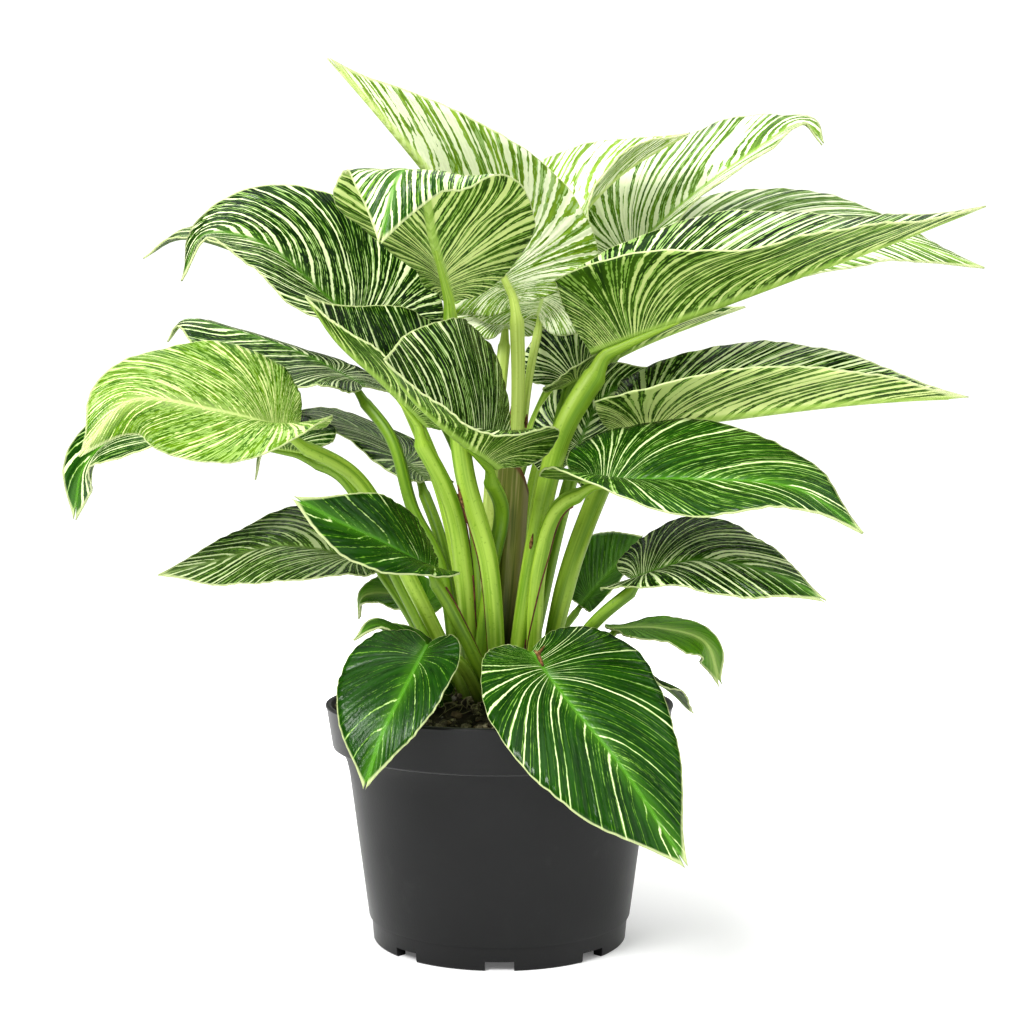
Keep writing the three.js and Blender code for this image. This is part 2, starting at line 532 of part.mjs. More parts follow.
// The mix fills the pot and has one plain hole, where the crown and the stalks stand
function soilGeometry() {
  const fit = WALL + CLEARANCE;
  const pit = OUTER_SEAT.radius + OUTER_SEAT.stalk + CLEARANCE;
  const profile = [
    [0, FLOOR_TOP + CLEARANCE],
    [FOOT_RING_RADIUS - fit + 1 - FLOOR_ROUNDING, FLOOR_TOP + CLEARANCE],
    [FOOT_RING_RADIUS - fit + 1, FLOOR_TOP + CLEARANCE + FLOOR_ROUNDING],
    [BODY_TOP_RADIUS - fit, BODY_TOP],
    [BAND_FOOT_RADIUS - LIP - CLEARANCE, BAND_FOOT + LEDGE_RISE + CLEARANCE],
    [SOIL_EDGE, SOIL_LEVEL],
    ...SOIL_RINGS.map((radius) => [radius, SOIL_LEVEL]),
    [pit + PIT_FLARE, SOIL_LEVEL],
    [pit, SOIL_LEVEL - PIT_FLARE_DEPTH],
    [pit, OUTER_SEAT.level - CLEARANCE],
    [CROWN_RADIUS + CLEARANCE, OUTER_SEAT.level - CLEARANCE],
    [CROWN_RADIUS + CLEARANCE, CROWN_FOOT - CLEARANCE],
    [0, CROWN_FOOT - CLEARANCE],
  ];
  const geometry = lathe(profile, SOIL_SIDES);
  const position = geometry.attributes.position;
  for (let index = 0; index < position.count; index += 1) {
    const x = position.getX(index);
    const y = position.getY(index);
    const z = position.getZ(index);
    const radius = Math.hypot(x, y);
    if (radius < pit + PIT_FLARE + 1) {
      position.setXY(index, x + CROWN.x, y + CROWN.y);
    }
    if (z === SOIL_LEVEL) {
      position.setZ(index, soilTop(x, y));
    }
  }
  return geometry;
}

// Height of the mix's uneven top
function soilTop(x, y) {
  const bump = Math.sin(x * 0.31 + 1.3) * Math.cos(y * 0.27) + 0.6 * Math.sin(x * 0.73 + y * 0.61);
  const mound = 1 - (x * x + y * y) / SOIL_EDGE ** 2;
  const heap = Math.exp(-(((x - HEAP.x) / HEAP.width) ** 2) - ((y - HEAP.y) / HEAP.length) ** 2);
  return SOIL_LEVEL + SOIL_MOUND * mound + HEAP.height * heap + SOIL_BUMP * bump;
}

function crownGeometry() {
  const geometry = lathe([
    [0, CROWN_FOOT],
    [CROWN_RADIUS - CROWN_BEVEL, CROWN_FOOT],
    [CROWN_RADIUS, CROWN_FOOT + CROWN_BEVEL],
    [CROWN_RADIUS, SHOULDER_LEVEL],
    [NECK_RADIUS, SHOULDER_LEVEL],
    [NECK_RADIUS - 0.6, CROWN_TOP],
    [0, CROWN_TOP],
  ], CROWN_SIDES);
  geometry.translate(CROWN.x, CROWN.y, 0);
  return geometry;
}

// An oval sleeve, open at both ends, round the two newest stalks
function sheathGeometry() {
  const curve = new THREE.CatmullRomCurve3(SHEATH_ROUTE.map(vector), false, 'centripetal');
  const outer = [];
  const inner = [];
  for (const { centre, side, other } of routeFrames(curve, SHEATH_STEPS)) {
    for (const [rings, inset] of [[outer, 0], [inner, SHEATH_WALL]]) {
      rings.push(Array.from({ length: SHEATH_SIDES }, (_, index) => {
        const angle = (2 * Math.PI * index) / SHEATH_SIDES;
        return centre.clone()
          .addScaledVector(side, (SHEATH_HALF_WIDTH - inset) * Math.cos(angle))
          .addScaledVector(other, (SHEATH_HALF_DEPTH - inset) * Math.sin(angle));
      }));
    }
  }
  const loop = [...outer, ...inner.reverse()];
  const positions = loop.flat().flatMap((point) => point.toArray());
  const faces = [];
  loop.forEach((_, ring) => {
    const after = (ring + 1) % loop.length;
    for (let index = 0; index < SHEATH_SIDES; index += 1) {
      const next = (index + 1) % SHEATH_SIDES;
      const a = ring * SHEATH_SIDES + index;
      const b = ring * SHEATH_SIDES + next;
      const c = after * SHEATH_SIDES + next;
      const d = after * SHEATH_SIDES + index;
      faces.push(a, b, c, a, c, d);
    }
  });
  const geometry = new THREE.BufferGeometry();
  geometry.setAttribute('position', new THREE.Float32BufferAttribute(positions, 3));
  geometry.setIndex(faces);
  return geometry;
}

function material(colour, roughness) {
  return new THREE.MeshStandardMaterial({ color: colour, roughness, metalness: 0 });
}

const plant = new THREE.Group();

function addPiece(name, geometry, finish) {
  const piece = new THREE.Mesh(geometry, finish);
  piece.name = name;
  plant.add(piece);
}

addPiece('pot', potGeometry(), material(0x2d3032, 0.6));
addPiece('soil', soilGeometry(), material(0x2a211a, 1));
addPiece('crown', crownGeometry(), material(0x8fae4a, 0.5));
addPiece('sheath', sheathGeometry(), material(0x9a8f55, 0.6));

for (const leaf of LEAVES) {
  const footRadius = leaf.seat ? leaf.seat[0].stalk : leaf.thick[0];
  const stalk = stalkGeometry(stalkRoute(leaf), [footRadius, ...leaf.thick]);
  const blade = bladeGeometry(leaf);
  if (leaf.fused) {
    addPiece(leaf.name, toGeometry(toSolid(stalk).add(toSolid(blade))), material(0x2f5a2c, 0.4));
  } else {
    addPiece(`${leaf.name}_stalk`, stalk, material(0x97b93c, 0.45));
    addPiece(`${leaf.name}_blade`, blade, material(0x2f5a2c, 0.4));
  }
}

export default plant;
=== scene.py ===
import math
import random

import bpy
import numpy as np
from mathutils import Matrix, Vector, noise


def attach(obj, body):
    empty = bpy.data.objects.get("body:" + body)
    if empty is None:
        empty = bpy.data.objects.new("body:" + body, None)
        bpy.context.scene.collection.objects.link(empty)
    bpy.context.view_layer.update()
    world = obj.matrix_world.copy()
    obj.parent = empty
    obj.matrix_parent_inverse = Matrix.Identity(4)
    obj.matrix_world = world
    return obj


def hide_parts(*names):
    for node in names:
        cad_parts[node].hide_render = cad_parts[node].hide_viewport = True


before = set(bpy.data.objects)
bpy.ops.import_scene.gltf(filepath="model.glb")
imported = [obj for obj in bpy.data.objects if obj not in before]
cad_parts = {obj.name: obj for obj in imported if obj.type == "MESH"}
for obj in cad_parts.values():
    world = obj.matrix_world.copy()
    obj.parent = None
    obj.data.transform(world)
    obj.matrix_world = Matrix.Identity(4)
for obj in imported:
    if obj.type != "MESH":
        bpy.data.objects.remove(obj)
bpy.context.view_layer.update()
bpy.ops.object.select_all(action="DESELECT")

MM = 0.001


# The camera and the studio. A plain white floor runs back to a white room, one large
# soft box stands at the upper left in front, a weaker one at the right, and one behind
# lights the leaf edges from above.
CAMERA_PLACE = (0, -0.82, 0.234)
CAMERA_TILT = math.radians(87.766)
CAMERA_LENS = 60.8
CAMERA_SHIFT = 0.0122
bpy.ops.object.camera_add(location=CAMERA_PLACE, rotation=(CAMERA_TILT, 0, 0))
camera = bpy.context.object
camera.name = "camera"
camera.data.sensor_width = 36
camera.data.lens = CAMERA_LENS
camera.data.shift_x = CAMERA_SHIFT
camera.data.clip_start = 0.01
camera.data.clip_end = 100
bpy.context.scene.camera = camera
bpy.context.scene.view_settings.view_transform = "Standard"
bpy.context.scene.view_settings.look = "Medium High Contrast"


def new_finish(name):
    """A material and its shader."""
    material = bpy.data.materials.new(name)
    material.use_nodes = True
    return material, material.node_tree.nodes["Principled BSDF"]


def paint_node(owner, kind, **values):
    """A shader node of a material or world, with its settings and unlinked inputs."""
    node = owner.node_tree.nodes.new("ShaderNode" + kind)
    for key, value in values.items():
        if hasattr(node, key):
            setattr(node, key, value)
        else:
            node.inputs[key].default_value = value
    return node


def feed(value, socket):
    """Links a node's output to an input, or sets the input to a plain value."""
    if isinstance(value, bpy.types.NodeSocket):
        socket.id_data.links.new(value, socket)
    else:
        socket.default_value = value


FLOOR_GLOW = {"From Min": 0.06, "From Max": 0.5, "To Min": 0.12, "To Max": 0.66}
bpy.ops.mesh.primitive_plane_add(size=60)
floor = bpy.context.object
floor.name = "floor"
floor_paint, floor_shader = new_finish("floor_paint")
floor_shader.inputs["Base Color"].default_value = (0.93, 0.93, 0.93, 1)
floor_shader.inputs["Roughness"].default_value = 0.9
floor_shader.inputs["Specular IOR Level"].default_value = 0.2
floor_place = paint_node(floor_paint, "TexCoord")
floor_distance = paint_node(floor_paint, "VectorMath", operation="LENGTH")
feed(floor_place.outputs["Object"], floor_distance.inputs[0])
floor_fade = paint_node(floor_paint, "MapRange", interpolation_type="SMOOTHSTEP", **FLOOR_GLOW)
feed(floor_distance.outputs["Value"], floor_fade.inputs["Value"])
floor_path = paint_node(floor_paint, "LightPath")
floor_glow = paint_node(floor_paint, "Math", operation="MULTIPLY")
feed(floor_path.outputs["Is Camera Ray"], floor_glow.inputs[0])
feed(floor_fade.outputs["Result"], floor_glow.inputs[1])
feed(floor_glow.outputs[0], floor_shader.inputs["Emission Color"])
floor_shader.inputs["Emission Strength"].default_value = 1
floor.data.materials.append(floor_paint)

ROOM_LIGHT = 0.42
ROOM_IN_REFLECTIONS = 0.06
room = bpy.data.worlds.new("white_room")
room.use_nodes = True
room_lighting = room.node_tree.nodes["Background"]
room_lighting.inputs["Color"].default_value = (1, 1, 1, 1)
room_seen = paint_node(room, "Background", Color=(1, 1, 1, 1), Strength=1)
room_path = paint_node(room, "LightPath")
room_dimmer = paint_node(room, "MapRange", **{"To Min": ROOM_LIGHT, "To Max": ROOM_IN_REFLECTIONS})
feed(room_path.outputs["Is Glossy Ray"], room_dimmer.inputs["Value"])
feed(room_dimmer.outputs["Result"], room_lighting.inputs["Strength"])
room_mix = paint_node(room, "MixShader")
feed(room_path.outputs["Is Camera Ray"], room_mix.inputs["Fac"])
feed(room_lighting.outputs[0], room_mix.inputs[1])
feed(room_seen.outputs[0], room_mix.inputs[2])
feed(room_mix.outputs[0], room.node_tree.nodes["World Output"].inputs["Surface"])
bpy.context.scene.world = room

LAMP_AIM = (0, 0, 0.22)


def hang_soft_box(name, place, size, power):
    heading = (Vector(LAMP_AIM) - Vector(place)).to_track_quat("-Z", "Y").to_euler()
    bpy.ops.object.light_add(type="AREA", location=place, rotation=heading)
    lamp = bpy.context.object
    lamp.name = name
    lamp.data.shape = "SQUARE"
    lamp.data.size = size
    lamp.data.energy = power


hang_soft_box("key_soft_box", (-0.75, -1.0, 1.25), 0.8, 27)
hang_soft_box("fill_soft_box", (1.25, -0.7, 0.8), 1.6, 8)
hang_soft_box("top_soft_box", (0.1, 0.35, 1.6), 2.2, 18)


# Pot: a six-inch nursery pot of thin charcoal plastic with a stepped rim band, moulded
# in one piece. It stands on a foot ring with eight drain notches, and its floor
# has eight round drain holes.
POT_SIDES = 144
POT_NOTCHES = 8
NOTCH_SIZE = (16, 13, 8.4)
NOTCH_RING = 60
DRAIN_HOLE_RADIUS = 5
DRAIN_HOLE_RING = 40
POT_PROFILE = [
    (12.0, 0.0), (12.0, 4.5), (55.0, 4.5), (55.0, 0.0), (59.5, 0.0), (60.0, 0.6),
    (60.9, 10.4), (61.2, 11.0), (61.9, 11.2), (62.2, 12.0), (66.9, 47.0), (71.2, 79.0),
    (72.4, 84.6), (73.6, 87.6), (74.8, 89.6), (75.2, 90.2), (78.2, 91.2), (78.9, 91.7),
    (79.2, 92.6), (81.9, 109.6), (82.5, 111.0), (82.3, 111.7), (81.7, 112.0), (80.6, 112.0),
    (80.1, 111.7), (79.8, 111.0), (76.6, 94.0), (75.6, 92.6), (71.6, 88.0), (70.2, 84.0),
    (65.2, 47.0), (59.4, 8.0), (57.7, 6.3), (10.0, 6.3),
]


def draw_ring_on(old_radius, new_radius, rise):
    bpy.ops.mesh.extrude_edges_move(TRANSFORM_OT_translate={"value": (0, 0, rise)})
    grow = new_radius / old_radius
    bpy.ops.transform.resize(value=(grow, grow, 1), center_override=(0, 0, 0))


def draw_turned(name, profile, sides):
    """A round piece: a disc is extruded ring by ring along the profile, in millimetres."""
    first_radius, first_level = profile[0]
    bpy.ops.mesh.primitive_circle_add(
        vertices=sides,
        radius=first_radius * MM,
        location=(0, 0, first_level * MM),
        fill_type="NGON",
    )
    piece = bpy.context.object
    piece.name = name
    bpy.ops.object.transform_apply(location=True)
    bpy.ops.object.mode_set(mode="EDIT")
    bpy.ops.mesh.select_mode(type="EDGE")
    bpy.ops.mesh.select_all(action="SELECT")
    for (radius, level), (new_radius, new_level) in zip(profile, profile[1:]):
        draw_ring_on(radius, new_radius, (new_level - level) * MM)
    bpy.ops.mesh.edge_face_add()
    bpy.ops.mesh.select_all(action="SELECT")
    bpy.ops.mesh.normals_make_consistent(inside=False)
    bpy.ops.object.mode_set(mode="OBJECT")
    return piece


def select_only(piece):
    bpy.ops.object.select_all(action="DESELECT")
    piece.select_set(True)
    bpy.context.view_layer.objects.active = piece


def finish_modifier(piece, kind, **values):
    select_only(piece)
    modifier = piece.modifiers.new(kind.lower(), kind)
    for key, value in values.items():
        setattr(modifier, key, value)
    bpy.ops.object.modifier_apply(modifier=modifier.name)


def cut_with(piece, cutters):
    for cutter in cutters:
        finish_modifier(piece, "BOOLEAN", operation="DIFFERENCE", object=cutter, solver="EXACT")
        bpy.data.objects.remove(cutter)


pot_shell = draw_turned("pot_shell", POT_PROFILE, POT_SIDES)
pot_cutters = []
for index in range(POT_NOTCHES):
    turn = 2 * math.pi * index / POT_NOTCHES + math.pi / 2
    outward = Vector((math.cos(turn), math.sin(turn), 0))
    notch_place = outward * NOTCH_RING * MM
    bpy.ops.mesh.primitive_cube_add(size=1, location=notch_place, rotation=(0, 0, turn))
    bpy.context.object.scale = [length * MM for length in NOTCH_SIZE]
    pot_cutters.append(bpy.context.object)
    bpy.ops.mesh.primitive_cylinder_add(
        vertices=24,
        radius=DRAIN_HOLE_RADIUS * MM,
        depth=12 * MM,
        location=outward * DRAIN_HOLE_RING * MM + Vector((0, 0, 4.5 * MM)),
    )
    pot_cutters.append(bpy.context.object)
cut_with(pot_shell, pot_cutters)
bpy.ops.object.shade_smooth_by_angle(angle=math.radians(32))


def object_noise(material, **values):
    """Noise over the object's own space."""
    place = paint_node(material, "TexCoord")
    node = paint_node(material, "TexNoise", **values)
    feed(place.outputs["Object"], node.inputs["Vector"])
    return node.outputs["Fac"]


def ramp(material, stops, source):
    node = paint_node(material, "ValToRGB")
    while len(node.color_ramp.elements) < len(stops):
        node.color_ramp.elements.new(0.5)
    for element, (place, colour) in zip(node.color_ramp.elements, stops):
        element.position = place
        element.color = (*colour, 1)
    feed(source, node.inputs["Fac"])
    return node.outputs["Color"]


def roughen(material, shader, height, strength, distance):
    bump = paint_node(material, "Bump", Strength=strength, Distance=distance)
    feed(height, bump.inputs["Height"])
    feed(bump.outputs["Normal"], shader.inputs["Normal"])


pot_plastic, pot_shader = new_finish("charcoal_polypropylene")
pot_scuffs = object_noise(pot_plastic, Scale=38, Detail=6, Roughness=0.65)
POT_SHADES = [
    (0.3, (0.0055, 0.0057, 0.006)), (0.62, (0.0085, 0.0088, 0.0092)), (0.8, (0.02, 0.02, 0.02)),
]
pot_colour = ramp(pot_plastic, POT_SHADES, pot_scuffs)
feed(pot_colour, pot_shader.inputs["Base Color"])
pot_dullness = paint_node(pot_plastic, "MapRange", **{"To Min": 0.42, "To Max": 0.58})
feed(pot_scuffs, pot_dullness.inputs["Value"])
feed(pot_dullness.outputs["Result"], pot_shader.inputs["Roughness"])
roughen(pot_plastic, pot_shader, object_noise(pot_plastic, Scale=900, Detail=2), 0.12, 0.0003)
pot_shader.inputs["Specular IOR Level"].default_value = 0.4
pot_shader.inputs["Sheen Weight"].default_value = 0.25
pot_shader.inputs["Sheen Roughness"].default_value = 0.35
pot_shell.data.materials.append(pot_plastic)
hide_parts("pot")
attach(pot_shell, "root")


# Potting mix: dark, damp peat that fills the pot and is mounded up round the stem, with
# crumbs of peat, chips of bark, grains of perlite and thin pale roots on its top.
MIX_SIDES = 120
MIX_PROFILE = [
    (30.0, 6.7), (56.0, 6.7), (57.5, 8.2), (69.6, 84.0), (75.8, 95.0), (78.2, 106.5),
]
MIX_LEVEL = 106.4
MIX_TOP = MIX_PROFILE[-1][1]
MIX_MOUND_RADIUS = 78
STREWN_RADIUS = 79.5
ROOTS_RADIUS = 76
MIX_TOP_RINGS = [77.6, 76.6, 75] + [74 - 1.5 * index for index in range(48)]
STEM = Vector((-1, -5, 0))


def mix_level(x, y):
    """Height of the mix's top at a place, in millimetres."""
    from_stem = math.hypot(x - STEM.x, y - STEM.y)
    from_axis = math.hypot(x, y)
    mound = 11 * math.exp(-((from_stem / 34) ** 2)) + 4 * (1 - (from_axis / 80) ** 2)
    heap = 7 * math.exp(-(((x + 72) / 9) ** 2) - ((y + 14) / 16) ** 2)
    clods = 1.5 * noise.noise(Vector((x / 9, y / 9, 3)))
    clods += 1.1 * noise.noise(Vector((x / 3.4, y / 3.4, 8)))
    return MIX_LEVEL + mound + heap + clods


potting_mix = draw_turned(
    "potting_mix_body", MIX_PROFILE + [(radius, MIX_TOP) for radius in MIX_TOP_RINGS], MIX_SIDES
)
for vertex in potting_mix.data.vertices:
    x, y, z = vertex.co / MM
    if z > MIX_TOP - 0.5 and math.hypot(x, y) < MIX_MOUND_RADIUS:
        vertex.co.z = mix_level(x, y) * MM
bpy.ops.object.shade_smooth_by_angle(angle=math.radians(50))

mix_chance = random.Random(11)


def strew(name, seed_piece, places):
    """One piece made of copies of a small one, each with its own place, size and turn."""
    source = np.array([vertex.co for vertex in seed_piece.data.vertices])
    faces = [list(polygon.vertices) for polygon in seed_piece.data.polygons]
    bpy.data.objects.remove(seed_piece)
    points = []
    polygons = []
    for place, size, turn in places:
        spin = np.array(turn.to_matrix())
        grown = source * np.array(size)
        polygons += [[len(points) + corner for corner in face] for face in faces]
        points += [tuple(point) for point in grown @ spin.T + np.array(place)]
    mesh = bpy.data.meshes.new(name)
    mesh.from_pydata(points, [], polygons)
    piece = bpy.data.objects.new(name, mesh)
    bpy.context.collection.objects.link(piece)
    return piece


def on_the_mix(count, smallest, largest, flatness, sunk):
    places = []
    for _ in range(count):
        radius = STREWN_RADIUS * math.sqrt(mix_chance.uniform(0.02, 0.93))
        bearing = mix_chance.uniform(0, 2 * math.pi)
        x, y = radius * math.cos(bearing), radius * math.sin(bearing)
        grain = smallest + (largest - smallest) * mix_chance.random() ** 2.5
        size = [grain * mix_chance.uniform(0.7, 1.3) * MM for _ in range(3)]
        size[2] *= flatness
        turn = Vector((mix_chance.random(), mix_chance.random(), 1)).to_track_quat("Z", "X")
        lean = Vector((mix_chance.uniform(-1, 1), mix_chance.uniform(-1, 1), 1.2))
        turn.rotate(lean.to_track_quat("Z", "Y"))
        level = mix_level(x, y) + grain * (0.5 - sunk)
        places.append((Vector((x, y, level)) * MM, size, turn))
    return places


def small_clod(subdivisions):
    bpy.ops.mesh.primitive_ico_sphere_add(subdivisions=subdivisions, radius=1)
    clod = bpy.context.object
    for vertex in clod.data.vertices:
        vertex.co *= 1 + 0.45 * noise.noise(vertex.co * 1.7 + Vector((4, 1, 7)))
    return clod


peat_crumbs = strew("peat_crumbs", small_clod(1), on_the_mix(900, 0.5, 2.8, 0.8, 0.35))
bark_chips = strew("bark_chips", small_clod(1), on_the_mix(150, 0.9, 3.6, 0.35, 0.2))
perlite_grains = strew("perlite_grains", small_clod(2), on_the_mix(46, 0.5, 1.4, 0.9, 0.1))


def lay_thread(name, routes, radius, sides=6):
    """One piece of thin round threads, each along its own points, in millimetres."""
    curve = bpy.data.curves.new(name, "CURVE")
    curve.dimensions = "3D"
    curve.bevel_depth = radius * MM
    curve.bevel_resolution = max(0, sides // 2 - 2)
    curve.use_fill_caps = True
    for points in routes:
        spline = curve.splines.new("BEZIER")
        spline.bezier_points.add(len(points) - 1)
        for knot, point in zip(spline.bezier_points, points):
            knot.co = Vector(point[:3]) * MM
            knot.radius = point[3] if len(point) > 3 else 1
            knot.handle_left_type = "AUTO"
            knot.handle_right_type = "AUTO"
        spline.resolution_u = 6
    thread = bpy.data.objects.new(name, curve)
    bpy.context.collection.objects.link(thread)
    select_only(thread)
    bpy.ops.object.convert(target="MESH")
    bpy.ops.object.shade_smooth()
    return bpy.context.object


root_routes = []
for index in range(26):
    bearing = math.radians(-150 + 120 * mix_chance.random())
    near = mix_chance.uniform(17, 30)
    points = []
    for step in range(5):
        radius = near + step * mix_chance.uniform(2.5, 4.5)
        bearing += mix_chance.uniform(-0.12, 0.12)
        x = STEM.x + radius * math.cos(bearing)
        y = STEM.y + radius * math.sin(bearing)
        if math.hypot(x, y) > ROOTS_RADIUS:
            break
        lift = mix_chance.uniform(-0.4, 1.8)
        points.append((x, y, mix_level(x, y) + lift, 1.1 - 0.18 * step))
    if len(points) > 2:
        root_routes.append(points)
fine_roots = lay_thread("fine_roots", root_routes, 0.38)

mix_colours = {
    "damp_peat": ((0.018, 0.015, 0.01), (0.05, 0.04, 0.025), (0.14, 0.11, 0.07)),
    "peat_crumb": ((0.04, 0.036, 0.024), (0.17, 0.15, 0.09), (0.5, 0.45, 0.3)),
    "bark": ((0.05, 0.036, 0.02), (0.2, 0.15, 0.085), (0.5, 0.42, 0.27)),
    "perlite": ((0.28, 0.26, 0.21), (0.5, 0.48, 0.42), (0.7, 0.68, 0.62)),
    "root": ((0.19, 0.16, 0.09), (0.4, 0.36, 0.22), (0.55, 0.52, 0.36)),
}
mix_stops = {
    "damp_peat": (0.3, 0.55, 0.8),
    "peat_crumb": (0.3, 0.5, 0.66),
    "bark": (0.3, 0.55, 0.75),
    "perlite": (0.3, 0.6, 0.75),
    "root": (0.3, 0.6, 0.75),
}
for piece, finish_name in (
    (potting_mix, "damp_peat"),
    (peat_crumbs, "peat_crumb"),
    (bark_chips, "bark"),
    (perlite_grains, "perlite"),
    (fine_roots, "root"),
):
    finish, shader = new_finish(finish_name)
    tone = object_noise(finish, Scale=260, Detail=4, Roughness=0.7)
    stops = list(zip(mix_stops[finish_name], mix_colours[finish_name]))
    feed(ramp(finish, stops, tone), shader.inputs["Base Color"])
    grit = object_noise(finish, Scale=1500, Detail=5, Roughness=0.7)
    roughen(finish, shader, grit, 0.7, 0.0005)
    shader.inputs["Roughness"].default_value = 0.85
    shader.inputs["Specular IOR Level"].default_value = 0.35
    piece.data.materials.append(finish)
    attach(piece, "root")
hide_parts("soil")


# Crown: the short thick stem at the plant's foot, green, with a shoulder and a narrower
# neck. The stalks stand round it.
CROWN_PROFILE = [
    (6.0, 84.0), (14.4, 84.0), (16.4, 85.4), (16.9, 88.0), (16.2, 95.0), (16.9, 98.0),
    (15.6, 104.0), (16.0, 107.0), (14.0, 110.5), (9.6, 112.6), (8.2, 114.0), (7.8, 120.0),
    (7.2, 124.6), (6.0, 126.0),
]
crown_stem = draw_turned("crown_stem", CROWN_PROFILE, 40)
for vertex in crown_stem.data.vertices:
    vertex.co += STEM * MM
bpy.ops.object.shade_smooth_by_angle(angle=math.radians(60))
crown_skin, crown_shader = new_finish("crown_skin")
crown_colour = ramp(
    crown_skin,
    [(0.3, (0.1, 0.13, 0.02)), (0.6, (0.2, 0.3, 0.05)), (0.8, (0.32, 0.25, 0.1))],
    object_noise(crown_skin, Scale=120, Detail=4),
)
feed(crown_colour, crown_shader.inputs["Base Color"])
crown_shader.inputs["Roughness"].default_value = 0.55
crown_stem.data.materials.append(crown_skin)
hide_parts("crown")
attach(crown_stem, "root")


# Leaf stalks: fleshy lime-green stems, round behind and grooved in front, that stand on
# and round the crown and run out under the midribs. The oldest stand in the outer ring.
OUTER_SEAT = {"radius": 20.5, "level": 97, "stalk": 2.8}
INNER_SEAT = {"radius": 12.6, "level": 112.35, "stalk": 3.9}
SEAT_RISE = 12
BLADE_THICKNESS = 0.8
KEEL_DEPTH = 1.4
KEEL_START = 0.12
CLEARANCE = 0.35
FOOT_REACH = 0.5
OUTLINE = [
    (-0.03, 0.05), (-0.12, 0.28), (-0.12, 0.58), (-0.01, 0.86), (0.18, 1.0), (0.4, 0.94),
    (0.6, 0.72), (0.77, 0.44), (0.89, 0.19), (0.96, 0.07), (1.0, 0.01),
]

